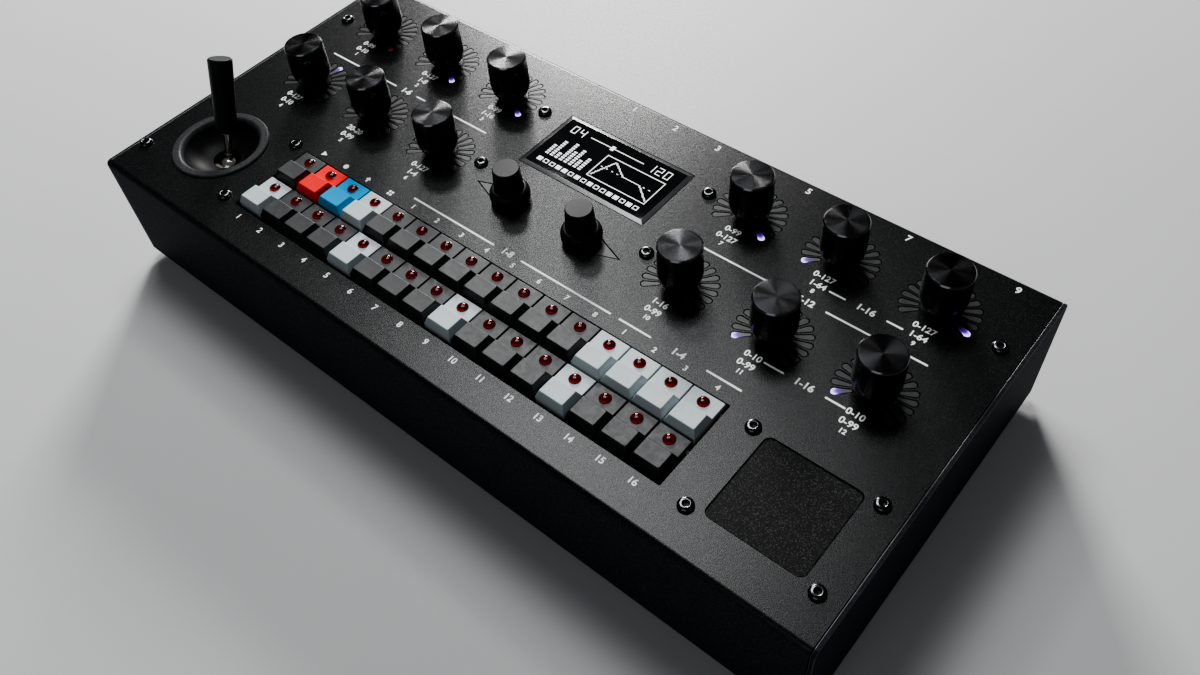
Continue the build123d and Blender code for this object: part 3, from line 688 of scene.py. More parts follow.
# ------------------------------------------------------------------ case
def build_cover():
    g = Geo()
    x0, x1 = 1.8, W - 1.8
    holes = [rrect(65.7, 278.3, 16.9, 54.6, 0.5, 4)]
    hx, hy = DISP[0] / 2, DISP[1] / 2
    holes.append(rrect(DISP_C[0] - hx, DISP_C[0] + hx, DISP_C[1] - hy, DISP_C[1] + hy, 0.4, 4))
    hx, hy = PAD[0] / 2, PAD[1] / 2
    holes.append(rrect(PAD_C[0] - hx, PAD_C[0] + hx, PAD_C[1] - hy, PAD_C[1] + hy, 2.75, 12))
    holes.append(circle(*JOY, 18.1, 96))
    holes += [circle(x, y, 3.6, 40) for x, y in ENC + list(POTS)]
    holes += [circle(x, y, 1.7, 24) for x, y in SCREWS + COVER_SCREWS]
    for cx, cy in ENC:
        holes += [petal_outline(cx, cy, a, 0.36) for a in PETAL_A]
    for (cx, cy), s in zip(POTS, (-1, 1)):
        holes.append(arrow_outline(cx, cy, s, 0.42))
    outer = [(x0, BEND), (x1, BEND), (x1, D - BEND), (x0, D - BEND)]
    # flat of the panel
    tops = [outer] + [inset(h, -0.06) for h in holes]
    v, f = fill(tops, 0.0)
    g.add(v, f, 0)
    v, f = fill([outer] + holes, -SHEET)
    g.add(v, [q[::-1] for q in f], 0)
    for full, top in zip(holes, tops[1:]):
        g.rings([[(x, y, -SHEET) for x, y in full], [(x, y, -0.06) for x, y in full],
                 [(x, y, 0.0) for x, y in top]], mat=0, flip=True)
    # front and rear bends with their walls
    for y_out, s, low in ((0.0, 1, -H), (D, -1, -10.0)):
        sec = []
        for k in range(13):
            a = math.pi / 2 * k / 12
            sec.append((y_out + s * (BEND - BEND * math.sin(a)), -BEND + BEND * math.cos(a)))
        sec += [(y_out, low + 0.2), (y_out + s * 0.2, low), (y_out + s * (SHEET - 0.2), low),
                (y_out + s * SHEET, low + 0.2)]
        for k in range(7):
            a = math.pi / 2 * k / 6
            ri = BEND - SHEET
            sec.append((y_out + s * (BEND - ri * math.cos(a)), -BEND + ri * math.sin(a)))
        n = len(sec)
        e = 0.10
        rings = []
        for x, ins in ((x0, e), (x0 + e, 0.0), (x1 - e, 0.0), (x1, e)):
            ring = sec
            if ins and s > 0:
                ring = inset(sec, -ins) if area(sec) < 0 else inset(sec, ins)
            elif ins:
                ring = inset(sec, ins) if area(sec) > 0 else inset(sec, -ins)
            rings.append([(x, y, z) for y, z in ring])
        for k in range(3):
            for i in range(n - 1):
                g.add([rings[k][i], rings[k][i + 1], rings[k + 1][i + 1], rings[k + 1][i]],
                      [[0, 1, 2, 3]], 0)
        g.add(rings[0], [list(range(n))], 0)
        g.add(rings[3], [list(range(n))[::-1]], 0)
    # plain side edges of the flat
    for x, o in ((x0, 0), (x1, 1)):
        q = [(x, BEND, 0.0), (x, D - BEND, 0.0), (x, D - BEND, -SHEET), (x, BEND, -SHEET)]
        g.add(q, [[0, 1, 2, 3] if o else [3, 2, 1, 0]], 0)
    me = g.mesh("top_cover_sheet", [M["case"], M["wall"]], 30)
    # steep faces take the wall copy of the coat, with its painted lift of their shade
    for q in me.polygons:
        q.material_index = 1 if abs(q.normal.z) < 0.6 else 0
    return put("top_cover_sheet", me, "case", ["top_cover"])


def area(o):
    return 0.5 * sum(o[i - 1][0] * o[i][1] - o[i][0] * o[i - 1][1] for i in range(len(o)))


def box_part(g, x0, x1, y0, y1, z0, z1, edge=0.15, r=0.4, mat=0):
    g.slab(rrect(x0, x1, y0, y1, r, 4), z0, z1, edge, 3, mat, low=edge)


def build_tray():
    g = Geo()
    box_part(g, SHEET, W - SHEET, 1.7, D - 1.7, -H, -H + SHEET, 0.12)
    # side walls, rounded at the top like the cover's bends
    for xa, xb in ((0.0, SHEET), (W - SHEET, W)):
        o = []
        for cy, a0 in ((D - BEND, 0), (BEND, 90)):
            for k in range(13):
                a = math.radians(a0 + 90 * k / 12)
                o.append((cy + BEND * math.cos(a), -BEND + BEND * math.sin(a)))
        o += [(0.0, -H + 0.3), (0.3, -H), (D - 0.3, -H), (D, -H + 0.3)]
        e = 0.22
        rings = []
        for x, ins in ((xa, e), (xa + 0.3 * e, 0.35 * e), (xa + e, 0.0),
                       (xb - e, 0.0), (xb - 0.3 * e, 0.35 * e), (xb, e)):
            rings.append([(x, y, z) for y, z in inset(o, ins)])
        # the rounded rims take the edge coat: a painted highlight line
        g.rings(rings, [1, 1, 0, 1, 1], cap0=True, cap1=True)
        g.m[-2:] = [0, 0]
    for y0, y1 in ((1.7, 3.2), (154.1, 155.6)):
        box_part(g, 12, W - 12, y0, y1, -H + SHEET, -H + SHEET + 8, 0.2)
    for (sx, sy), (xa, xb) in zip(COVER_SCREWS, ((SHEET, 14.0), (W - 14.0, W - SHEET))):
        pierced(g, rrect(xa, xb, 121, 133.5, 0.5, 4), [circle(sx, sy, 1.55, 24)],
                -SHEET - 0.02, -2 * SHEET, 0.1, 0)
    me = g.mesh("base_tray_sheet", [M["wall"], M["edge"]], 35)
    return put("base_tray_sheet", me, "case", ["base_tray"])


def build_rear():
    g = Geo()
    place = lambda x, z, y: (x, REAR_Y - SHEET + y, z)
    holes = [circle(x, JACK_Z, 4.8, 48) for x in JACK_X]
    holes.append(circle(24.0, JACK_Z, 5.7, 48))
    holes.append(rrect(50 - 5.1, 50 + 5.1, JACK_Z - 2.2, JACK_Z + 2.2, 2.0, 8))
    holes += [circle(x, JACK_Z, 3.2, 40) for x in (76.0, 96.0)]
    pierced(g, rrect(2.0, W - 2.0, -50.0, -2.0, 0.6, 4), holes, SHEET, 0.0, 0.15, 0, place)
    me = g.mesh("rear_panel_plate", [M["wall"]], 35)
    put("rear_panel_plate", me, "case", ["rear_panel"])

    g = Geo()
    nose_end, inner = 160.3, REAR_Y - SHEET
    for x in JACK_X:
        place = lambda a, b, h, x=x: (x + a, h, JACK_Z - b)
        # threaded nose with a rounded mouth and a blind bore
        prof = [(4.6, inner)]
        y = inner + 0.3
        while y < nose_end - 0.75:
            prof += [(4.42, y), (4.6, y + 0.22)]
            y += 0.44
        prof += soften([(4.6, nose_end - 0.5), (4.25, nose_end), (3.5, nose_end), (3.2, nose_end - 0.35),
                        (3.2, 139.0)], 0.12, 3)
        mats = [1] * (len(prof) - 1)
        mats[-1] = 0
        g.lathe(prof, place, 56, mats=mats)
        g.lathe([(3.2, 138.8), (0.0, 138.5)], place, 32, 0)
        # contact spring seen down the bore
        g.slab(rrect(x - 0.8, x + 0.8, 141.0, 150.0, 0.3, 3), JACK_Z + 2.3, JACK_Z + 2.7, 0.1, 2, 2)
        body = rrect(x - 7.5, x + 7.5, JACK_Z - 7.5, JACK_Z + 7.5, 0.8, 4)
        ring0 = [(a, inner, b) for a, b in body]
        ring1 = [(a, inner - 22, b) for a, b in body]
        n = len(body)
        g.rings([ring0, ring1], 0, cap1=True, flip=False)
        c = circle(x, JACK_Z, 4.6, n, -math.pi / 2 + 0.2)
        g.rings([ring0, [(a, inner, b) for a, b in c]], 0)
    # supply inlet
    place = lambda a, b, h: (24 + a, h, JACK_Z - b)
    prof = soften([(5.5, inner), (5.5, REAR_Y + 0.6), (2.9, REAR_Y + 0.6), (2.9, 147.5), (1.0, 147.5)], 0.25, 3)
    g.lathe(prof, place, 56, 0)
    g.lathe(soften([(1.0, 147.5), (1.0, 157.3), (0.0, 157.5)], 0.3, 3), place, 24, 2)
    g.slab(rrect(17.5, 30.5, inner - 12, inner - 0.02, 0.5, 3), JACK_Z - 6.5, JACK_Z + 6.5, 0.3, 2, 0)
    # data socket: metal shell and tongue
    o = rrect(50 - 4.8, 50 + 4.8, JACK_Z - 1.9, JACK_Z + 1.9, 1.8, 8)
    i = rrect(50 - 4.45, 50 + 4.45, JACK_Z - 1.55, JACK_Z + 1.55, 1.5, 8)
    y0, y1 = REAR_Y - 6.1, REAR_Y - 0.1
    g.rings([[(a, y0, b) for a, b in o], [(a, y1 - 0.1, b) for a, b in o],
             [(a, y1, b) for a, b in inset(o, 0.08)], [(a, y1, b) for a, b in inset(i, -0.08)],
             [(a, y1 - 0.1, b) for a, b in i], [(a, y0, b) for a, b in i]], 1, cap1=True)
    g.slab(rrect(50 - 3.3, 50 + 3.3, y0, y1 - 0.6, 0.4, 4), JACK_Z - 0.4, JACK_Z + 0.4, 0.12, 2, 0, low=0.12)
    g.slab(rrect(50 - 4.8, 50 + 4.8, y0 - 3.0, y0 - 0.02, 0.4, 4), JACK_Z - 1.9, JACK_Z + 1.9, 0.2, 2, 0)
    # two small sockets
    for x in (76.0, 96.0):
        place = lambda a, b, h, x=x: (x + a, h, JACK_Z - b)
        prof = soften([(3.0, inner), (3.0, REAR_Y + 1.2), (1.8, REAR_Y + 1.2), (1.8, 146.5), (0.0, 146.4)], 0.2, 3)
        g.lathe(prof, place, 48, mats=[1 if k < 9 else 0 for k in range(len(prof) - 1)])
        g.slab(rrect(x - 4.5, x + 4.5, inner - 13, inner - 0.02, 0.5, 3), JACK_Z - 4.5, JACK_Z + 4.5, 0.3, 2, 0)
    me = g.mesh("rear_sockets", [M["socket"], M["zinc"], M["nickel"]], 35)
    put("rear_sockets", me, "case", ["rear_jacks"])


def build_fasteners():
    g = Geo()
    N = 48
    turn = 0.0
    for k, (x, y) in enumerate(SCREWS + COVER_SCREWS):
        turn = (k * 1.37) % (TAU / 6)
        place = lambda a, b, h, x=x, y=y: (x + a, y + b, h)
        # shank, then the domed head up to its flat crown
        prof = [(0.0, -8.0), (1.1, -8.0), (1.5, -7.6), (1.5, 0.0), (2.72, 0.0), (2.85, 0.10), (2.85, 0.34)]
        for j in range(1, 9):
            t = j / 8
            a = math.pi / 2 * t
            prof.append((1.42 + 1.43 * math.cos(a) ** 0.85 if t < 1 else 1.42, 0.34 + 1.31 * math.sin(a)))
        prof.append((1.38, 1.65))
        g.lathe(prof, place, N, 0)
        hexa = polygon_ring(x, y, 1.17, 6, N, turn)
        like = circle(x, y, 1.38, N, 0)
        lip = circle(x, y, 1.29, N, 0)
        deep = [(x + (a - x) * 0.2, y + (b - y) * 0.2) for a, b in hexa]
        # the first band round the socket mouth takes the lighter steel: painted highlight ring
        # the socket's sides and floor take the darker steel: painted shade in the recess
        g.rings([[(a, b, 1.65) for a, b in like], [(a, b, 1.59) for a, b in lip],
                 [(a, b, 1.50) for a, b in align(hexa, like, (x, y))],
                 [(a, b, 0.72) for a, b in align(hexa, like, (x, y))],
                 [(a, b, 0.62) for a, b in align(deep, like, (x, y))]],
                [4, 1, 1, 1], cap1=True)
    # hexagon spacers
    for x, y in SCREWS:
        o = polygon_ring(x, y, 3.17, 6, 24)
        c = circle(x, y, 1.55, 24)
        z0, z1 = -12.0, -1.5
        g.rings([[(a, b, z0) for a, b in c], [(a, b, z0) for a, b in inset(o, 0.2)],
                 [(a, b, z0 + 0.2) for a, b in o], [(a, b, z1 - 0.2) for a, b in o],
                 [(a, b, z1) for a, b in inset(o, 0.2)], [(a, b, z1) for a, b in c],
                 [(a, b, z0) for a, b in c]], 2)
    # jack nuts, corners turned off on the outside
    for k, x in enumerate(JACK_X):
        a0 = 0.21 * k
        o = polygon_ring(x, JACK_Z, 6.9, 6, N, a0)
        c = align(circle(x, JACK_Z, 4.63, N, 0), o, (x, JACK_Z))
        c2 = align(circle(x, JACK_Z, 4.9, N, 0), o, (x, JACK_Z))
        cham = []
        for a, b in o:
            d = math.hypot(a - x, b - JACK_Z)
            s = min(1.0, 6.35 / d)
            cham.append((x + (a - x) * s, JACK_Z + (b - JACK_Z) * s))
        y0, y1 = REAR_Y, REAR_Y + 2.0
        low = [y1 - 0.02 - max(0.0, math.hypot(a - x, b - JACK_Z) - 6.2) * 0.55 for a, b in o]
        g.rings([[(a, y0, b) for a, b in c], [(a, y0, b) for a, b in o],
                 [(a, yy, b) for (a, b), yy in zip(o, low)],
                 [(a, y1, b) for a, b in cham],
                 [(a, y1, b) for a, b in c2], [(a, y1 - 0.25, b) for a, b in c],
                 [(a, y0, b) for a, b in c]], 3)
    me = g.mesh("screws_spacers_nuts", [M["steel"], M["socket_painted_shade"], M["zinc"], M["zinc"], M["screw_rim_painted_highlight"]], 38)
    put("screws_spacers_nuts", me, "case", ["fasteners"])


def align(ring, like, c):
    """Starts ring at the point whose direction is nearest to like[0]."""
    a0 = math.atan2(like[0][1] - c[1], like[0][0] - c[0])
    best = min(range(len(ring)), key=lambda i: abs(math.remainder(
        math.atan2(ring[i][1] - c[1], ring[i][0] - c[0]) - a0, TAU)))
    return ring[best:] + ring[:best]


def build_feet():
    g = Geo()
    z = -H - FOOT
    for x in (18, W - 18):
        for y in (16, D - 16):
            place = lambda a, b, h, x=x, y=y: (x + a, y + b, h)
            prof = [(0.0, z + 1.2), (2.2, z + 1.2)] + soften(
                [(2.4, z + 1.0), (2.6, z), (6.4, z), (7.0, z + 0.6), (7.0, -H), (0.0, -H)],
                [0.3, 0.5, 0.4, 0.15], 3)
            g.lathe(prof, place, 64, 0)
    me = g.mesh("rubber_feet", [M["foot"]], 40)
    put("rubber_feet", me, "case", ["feet"])


# ------------------------------------------------------------------ keys and lamps
def key_color(row, i):
    if row == "top":
        return {0: "dark", 1: "red", 2: "blue", 3: "white"}.get(i, "dark" if i < 12 else "white")
    return "white" if i % 4 == 0 else "dark"


def rect_ring(x0, x1, y0, y1, per=12):
    pts = []
    for (ax, ay), (bx, by) in (((x1, y0), (x1, y1)), ((x1, y1), (x0, y1)), ((x0, y1), (x0, y0)), ((x0, y0), (x1, y0))):
        pts += [(ax + (bx - ax) * k / per, ay + (by - ay) * k / per) for k in range(per)]
    return pts


def build_key(row, i):
    dy, kx = ROW_DY[row], KEY_X[i]
    g = Geo()
    # rear plate with the lamp hole
    x0, x1, y0, y1 = kx - 6.27, kx + 6.27, 46.3 + dy, 53.67 + dy
    ly = 50.02 + dy
    ring = lambda ins: rect_ring(x0 + ins, x1 - ins, y0, y1 - ins)
    outer = rect_ring(x0, x1, y0, y1)
    hole = lambda r: [(kx + r * math.cos(a), ly + r * math.sin(a))
                      for a in (math.atan2(q - ly, p - kx) for p, q in outer)]
    e = 0.22
    at = lambda o, z: [(a, b, z) for a, b in o]
    rings = [at(hole(1.95), -1.0), at(outer, -1.0)]
    for k in range(5):
        a = math.pi / 2 * k / 4
        rings.append(at(ring(e * (1 - math.cos(a))), 0.9 - e + e * math.sin(a)))
    rings += [at(hole(2.12), 0.9), at(hole(1.95), 0.75), at(hole(1.95), -1.0)]
    g.rings(rings, 0)
    # front block: skirt, four leaning walls, softly rounded top
    yf, yr = 36.74 + dy, 46.70 + dy
    tf, tr = 37.97 + dy, 45.18 + dy

    def level(z, extra=0.0):
        t = max(0.0, (z - 0.3) / 3.3)
        ix = 1.225 * t + extra
        return rrect(kx - 6.27 + ix, kx + 6.27 - ix, yf + (tf - yf) * t + extra,
                     yr + (tr - yr) * t - extra, 0.28 + 0.22 * t, 4)
    rings = [at(level(-2.6, 0.1), -2.6), at(level(-2.5), -2.5), at(level(0.22), 0.22), at(level(0.34), 0.34)]
    r = 0.28
    rings.append(at(level(2.0), 2.0))
    for k in range(6):
        a = math.pi / 2 * k / 5
        z = 3.6 - r + r * math.sin(a)
        rings.append(at(level(z, r * (1 - math.cos(a)) * 0.8), z))
    # very slight dish on the finger face
    last = rings[-1]
    cx, cy = kx, (tf + tr) / 2
    for s, dz in ((0.72, -0.03), (0.36, -0.05)):
        rings.append([(cx + (a - cx) * s, cy + (b - cy) * s, z + dz) for a, b, z in last])
    g.rings(rings, 0, cap0=True, cap1=True)
    # hinge barrel under the rear edge
    place = lambda a, b, h: (h, 52.37 + dy + a, -1.7 + b)
    g.lathe(soften([(0.0, kx - 3.8), (0.9, kx - 3.8), (0.9, kx + 3.8), (0.0, kx + 3.8)], 0.12, 2), place, 20, 0)
    name = f"key_{row}_{i + 1:02d}"
    color = key_color(row, i)
    me = g.mesh(name + "_cap", [M[color]], 30)
    put(name + "_cap", me, name, [name])


def build_switches():
    g = Geo()
    for row, dy in ROW_DY.items():
        for kx in KEY_X:
            place = lambda a, b, h, kx=kx, dy=dy: (kx + a, 50.02 + dy + b, h)
            prof = [(0.0, -4.95), (1.1, -4.95), (1.1, 0.96), (2.16, 0.93), (2.24, 0.97), (2.24, 1.03), (2.08, 1.08), (2.08, 1.12)]
            for k in range(1, 11):
                a = math.pi / 2 * k / 10
                prof.append((2.08 * math.cos(a) if k < 10 else 0.0, 1.12 + 1.02 * math.sin(a)))
            g.lathe(prof, place, 36, 0)
            yc = 45.6 + dy
            g.slab(rrect(kx - 6.1, kx + 6.1, yc - 7.8, yc + 7.8, 0.5, 3), -12.0, -5.0, 0.3, 2, 1)
            # hinge seat: two ears beside the barrel
            for s in (-1, 1):
                yy = 52.37 + dy + s * 1.0
                g.slab(rrect(kx - 4.0, kx + 4.0, yy - 0.09, yy + 0.09, 0.05, 2), -5.0, -1.85, 0.04, 2, 1)
    me = g.mesh("lamps_and_switches", [M["lamp"], M["socket"]], 40)
    put("lamps_and_switches", me, "case", ["key_switches"])


# ------------------------------------------------------------------ knobs
def knob_mesh():
    """Turned knob with a cross-drilled grub screw, about its own axis at (0, 0)."""
    g = Geo()
    place = lambda a, b, h: (XM + a, YM + b, h)
    low = [(3.03, 1.6), (5.9, 1.6), (6.15, 1.72)]
    for k in range(1, 13):
        t = k / 12
        # foot flares out to the full width
        low.append((6.15 + 2.2 * math.sin(math.pi / 2 * t) ** 0.9, 1.72 + 5.9 * t ** 1.25))
    prof = low + soften([(8.35, 7.9), (8.20, 19.2), (7.75, 19.8), (0.0, 19.8)], [0.25, 0.14], 3)
    mats = []
    for (r0, h0), (r1, h1) in zip(prof[:-1], prof[1:]):
        mats.append(1 if h0 > 19.76 else (2 if h0 > 19.15 else 0))
    # extra rings on the faced top, for the lathe lines
    top = prof[:-1]
    for r in (7.0, 6.0, 5.0, 4.0, 3.0, 2.0, 1.0, 0.35):
        top.append((r, 19.8 + 0.05 * (1 - (r / 7.75) ** 2)))
    top.append((0.0, 19.85))
    mats = mats[:-1] + [1] * 9
    g.lathe(top, place, 96, mats=mats)
    g.lathe([(0.0, -8.0), (2.6, -8.0), (3.0, -7.6), (3.0, 1.6), (3.03, 1.6)], place, 48, 3)
    me = g.mesh("knob_blank", [M["knob_side"], M["knob_top"], M["knob_rim"], M["nickel"]], 28)
    # drill the grub hole; its walls take the socket's painted shade
    ob = bpy.data.objects.new("knob_blank", me)
    bpy.context.scene.collection.objects.link(ob)
    c = Geo()
    pl = lambda a, b, h: (XM + h, YM + a, 14.6 + b)
    c.lathe([(0.0, 6.3), (1.52, 6.3), (1.52, 8.0), (1.75, 8.35), (1.75, 10.0), (0.0, 10.0)], pl, 32, 0)
    cut = bpy.data.objects.new("knob_cut", c.mesh("knob_cut", [M["socket_painted_shade"]], 30))
    bpy.context.scene.collection.objects.link(cut)
    mod = ob.modifiers.new("drill", "BOOLEAN")
    mod.operation, mod.solver, mod.object = "DIFFERENCE", "EXACT", cut
    mod.material_mode = "TRANSFER"
    dg = bpy.context.evaluated_depsgraph_get()
    drilled = bpy.data.meshes.new_from_object(ob.evaluated_get(dg))
    bpy.data.objects.remove(ob)
    bpy.data.objects.remove(cut)
    # grub screw with its hexagon socket, the socket painted dark as shade
    s = Geo()
    N = 36
    s.lathe(soften([(0.0, 3.1), (1.48, 3.1), (1.48, 7.35), (1.05, 7.45)], [0.1, 0.15], 2), pl, N, 0)
    hexa = polygon_ring(0, 0, 0.87, 6, N, 0)
    like = circle(0, 0, 1.05, N)
    q = lambda o, h: [pl(a, b, h) for a, b in o]
    s.rings([q(like, 7.45), q(hexa, 7.45), q(hexa, 5.9)], [0, 1], cap1=True)
    sm = s.mesh("grub", [M["grub"], M["socket_painted_shade"]], 35)
    bm = bmesh.new()
    bm.from_mesh(drilled)
    base = len(drilled.materials)
    names = [m.name for m in drilled.materials]
    k0 = len(bm.faces)
    bm.from_mesh(sm)
    bm.faces.ensure_lookup_table()
    for m in (M["grub"], M["socket_painted_shade"]):
        if m.name not in names:
            drilled.materials.append(m)
            names.append(m.name)
    lut = [names.index(M["grub"].name), names.index(M["socket_painted_shade"].name)]
    for f in list(bm.faces)[k0:]:
        f.material_index = lut[f.material_index]
    bm.to_mesh(drilled)
    bm.free()
    drilled.transform(Matrix.Translation((0, 0, -ZT * MM)))
    drilled.polygons.foreach_set("use_smooth", np.ones(len(drilled.polygons), bool))
    drilled.set_sharp_from_angle(angle=math.radians(28))
    drilled.name = "encoder_knob_turned"
    return drilled


def build_knobs():
    me = knob_mesh()
    for i, (x, y) in enumerate(ENC):
        name = f"encoder_knob_{i + 1:02d}"
        ob = bpy.data.objects.new(name + "_turned", me)
        bpy.context.scene.collection.objects.link(ob)
        ob.matrix_world = Matrix.Translation(P(x, y, 0)) @ Matrix.Rotation(math.radians(GRUB[i]), 4, "Z")
        wn = ob.modifiers.new("flat faces", "WEIGHTED_NORMAL")
        wn.keep_sharp = True
        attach(ob, name)
        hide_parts(name)
    for name, (x, y) in zip(("pot_knob_left", "pot_knob_right"), POTS):
        g = Geo()
        place = lambda a, b, h, x=x, y=y: (x + a, y + b, h)
        skirt = [(3.03, 1.2), (7.3, 1.2), (7.62, 1.35), (7.86, 1.9), (7.95, 2.8), (7.95, 3.5)]
        for k in range(1, 11):
            a = math.pi / 2 * k / 10
            skirt.append((6.0 + 1.95 * math.cos(a), 3.5 + 3.0 * math.sin(a) ** 1.05))
        body = soften([(6.0, 6.5), (5.85, 6.9), (5.25, 15.8), (4.95, 16.2), (3.0, 16.2), (0.0, 16.19)],
                      [0.3, 0.2, 0.15, 0.0], 4)
        g.lathe(skirt + body, place, 80, 0)
        g.lathe([(0.0, -8.0), (2.6, -8.0), (3.0, -7.6), (3.0, 1.2), (3.03, 1.2)], place, 48, 1)
        me2 = g.mesh(name + "_skirted", [M["pot"], M["nickel"]], 30)
        put(name + "_skirted", me2, name, [name])


# ------------------------------------------------------------------ light rings
LIT = {1: 15, 2: 15, 6: 15, 7: 0, 8: 14, 10: 0, 11: 0, 3: 8}


def build_guides():
    g = Geo()
    for k, (cx, cy) in enumerate(ENC):
        ring_o, ring_i = circle(cx, cy, 15.2, 64), circle(cx, cy, 4.2, 64)
        g.rings([[(a, b, -3.4) for a, b in ring_i], [(a, b, -3.4) for a, b in ring_o],
                 [(a, b, -1.55) for a, b in ring_o], [(a, b, -1.55) for a, b in ring_i],
                 [(a, b, -3.4) for a, b in ring_i]], 0)
        for i, a in enumerate(PETAL_A):
            mat = 0
            if LIT.get(k) == i:
                mat = 1
            elif k == 0 and i == 15:
                mat = 2
            g.slab(petal_outline(cx, cy, a, 0.0), -1.55, -0.08, 0.10, 2, mat)
    for (cx, cy), s in zip(POTS, (-1, 1)):
        g.slab(arrow_outline(cx, cy, s, 0.0), -1.55, -0.08, 0.10, 2, 0)
        o = arrow_outline(cx, cy, s, 0.9)
        g.slab(o, -3.4, -1.55, 0.1, 2, 0)
    me = g.mesh("light_ring_windows", [M["guide"], M["violet"], M["dim_red"]], 35)
    glow = me.attributes.new("glow", "FLOAT", "POINT")
    val = np.zeros(len(me.vertices), np.float32)
    spots = [ENC[k] for k in LIT] + [ENC[0]]
    for i, v in enumerate(me.vertices):
        x, y = v.co.x / MM + XM, v.co.y / MM + YM
        d = min(math.hypot(x - a, y - b) for a, b in spots)
        val[i] = min(1.0, max(0.0, (d - 8.6) / 4.2))
    glow.data.foreach_set("value", val)
    put("light_ring_windows", me, "case", ["light_guides"])


# ------------------------------------------------------------------ display
def build_display():
    g = Geo()
    cx, cy = DISP_C
    hx, hy = DISP[0] / 2 - 0.25, DISP[1] / 2 - 0.25
    o = rrect(cx - hx, cx + hx, cy - hy, cy + hy, 0.35, 4)
    n = len(o)
    rings = [[(a, b, -3.0) for a, b in o], [(a, b, -0.05) for a, b in o],
             [(a, b, 0.02) for a, b in inset(o, 0.05)],
             [(a, b, 0.47) for a, b in rrect(cx - hx + 1.62, cx + hx - 1.62, cy - hy + 1.62, cy + hy - 1.62, 0.2, 4)],
             [(a, b, 0.50) for a, b in rrect(cx - hx + 1.75, cx + hx - 1.75, cy - hy + 1.75, cy + hy - 1.75, 0.2, 4)]]
    g.rings(rings, [1, 1, 1, 1], cap0=True)
    g.add(rings[-1], [list(range(n))], 0)
    g.slab(rrect(cx - 33, cx + 33, cy - 19, cy + 19, 0.6, 4), -5.2, -3.05, 0.2, 2, 0)
    g.slab(rrect(cx - 36, cx + 36, cy - 21.5, cy + 21.5, 1.2, 4), -6.8, -5.25, 0.1, 2, 2)
    # picture: level bars, a stepped curve and a row of sixteen steps, all pixels
    p = 0.44
    px0, py0 = cx - 64 * p, cy - 32 * p

    def dot(c0, r0, c1, r1):
        x0, x1 = px0 + c0 * p + 0.03, px0 + c1 * p - 0.03
        y0, y1 = py0 + r0 * p + 0.03, py0 + r1 * p - 0.03
        v = [(x, y, z) for z in (0.495, 0.512) for x, y in ((x0, y0), (x1, y0), (x1, y1), (x0, y1))]
        g.add(v, [[3, 2, 1, 0], [4, 5, 6, 7], [0, 1, 5, 4], [1, 2, 6, 5], [2, 3, 7, 6], [3, 0, 4, 7]], 3)

    def frame_px(c0, r0, c1, r1, w=1):
        dot(c0, r0, c1, r0 + w)
        dot(c0, r1 - w, c1, r1)
        dot(c0, r0 + w, c0 + w, r1 - w)
        dot(c1 - w, r0 + w, c1, r1 - w)

    # sixteen steps along the foot
    on = (0, 3, 4, 6, 8, 11, 12, 14)
    for i in range(16):
        c0 = 5 + i * 7.4
        if i in on:
            dot(c0, 4, c0 + 5.4, 9)
        else:
            frame_px(c0, 4, c0 + 5.4, 9)
    # level bars at the left
    for i, h in enumerate((13, 22, 9, 27, 18, 24, 11, 16)):
        c0 = 6 + i * 5.5
        r = 15
        while r < 15 + h:
            dot(c0, r, c0 + 3.6, r + 2)
            r += 3
    # envelope at the right: steps drawn pixel by pixel
    frame_px(56, 14, 122, 46)
    prev = None
    for c in range(58, 120):
        t = (c - 58) / 62
        if t < 0.16:
            v = t / 0.16
        elif t < 0.42:
            v = 1 - 0.45 * (t - 0.16) / 0.26
        elif t < 0.72:
            v = 0.55
        else:
            v = 0.55 * (1 - (t - 0.72) / 0.28)
        r = int(17 + 25 * v)
        lo, hi = (r, r + 1) if prev is None else (min(prev, r), max(prev, r) + 1)
        dot(c, lo, c + 1, hi)
        prev = r
    for c in range(60, 120, 6):
        dot(c, 30, c + 2, 31)
    # seven-segment style numbers along the head
    SEG = {"0": "abcdef", "1": "bc", "2": "abged", "3": "abgcd", "4": "fgbc", "5": "afgcd",
           "6": "afgedc", "7": "abc", "8": "abcdefg", "9": "abcdfg"}

    def digit(ch, c, r, w=6, h=10):
        s = {"a": (c, r + h - 1, c + w, r + h), "d": (c, r, c + w, r + 1),
             "g": (c, r + h / 2 - 0.5, c + w, r + h / 2 + 0.5),
             "f": (c, r + h / 2, c + 1, r + h), "e": (c, r, c + 1, r + h / 2),
             "b": (c + w - 1, r + h / 2, c + w, r + h), "c": (c + w - 1, r, c + w, r + h / 2)}
        for k in SEG[ch]:
            dot(*s[k])
    for k, ch in enumerate("120"):
        digit(ch, 96 + k * 9, 50)
    for k, ch in enumerate("04"):
        digit(ch, 6 + k * 9, 50)
    dot(28, 54.5, 90, 55.5)
    dot(52, 52, 56, 58)
    me = g.mesh("display_window", [M["glass"], M["bevel"], M["board"], M["pixels"]], 20, merge=1e-9)
    put("display_window", me, "case", ["display_module"], modifiers=False)


# ------------------------------------------------------------------ touch pad
def value_noise(u, v, freq, seed):
    rng = np.random.default_rng(seed)
    n = int(freq) + 3
    t = rng.random((n, n))
    x, y = u * freq, v * freq
    i, j = np.floor(x).astype(int), np.floor(y).astype(int)
    fx, fy = x - i, y - j
    fx, fy = fx * fx * (3 - 2 * fx), fy * fy * (3 - 2 * fy)
    return ((t[i, j] * (1 - fx) + t[i + 1, j] * fx) * (1 - fy) +
            (t[i, j + 1] * (1 - fx) + t[i + 1, j + 1] * fx) * fy)


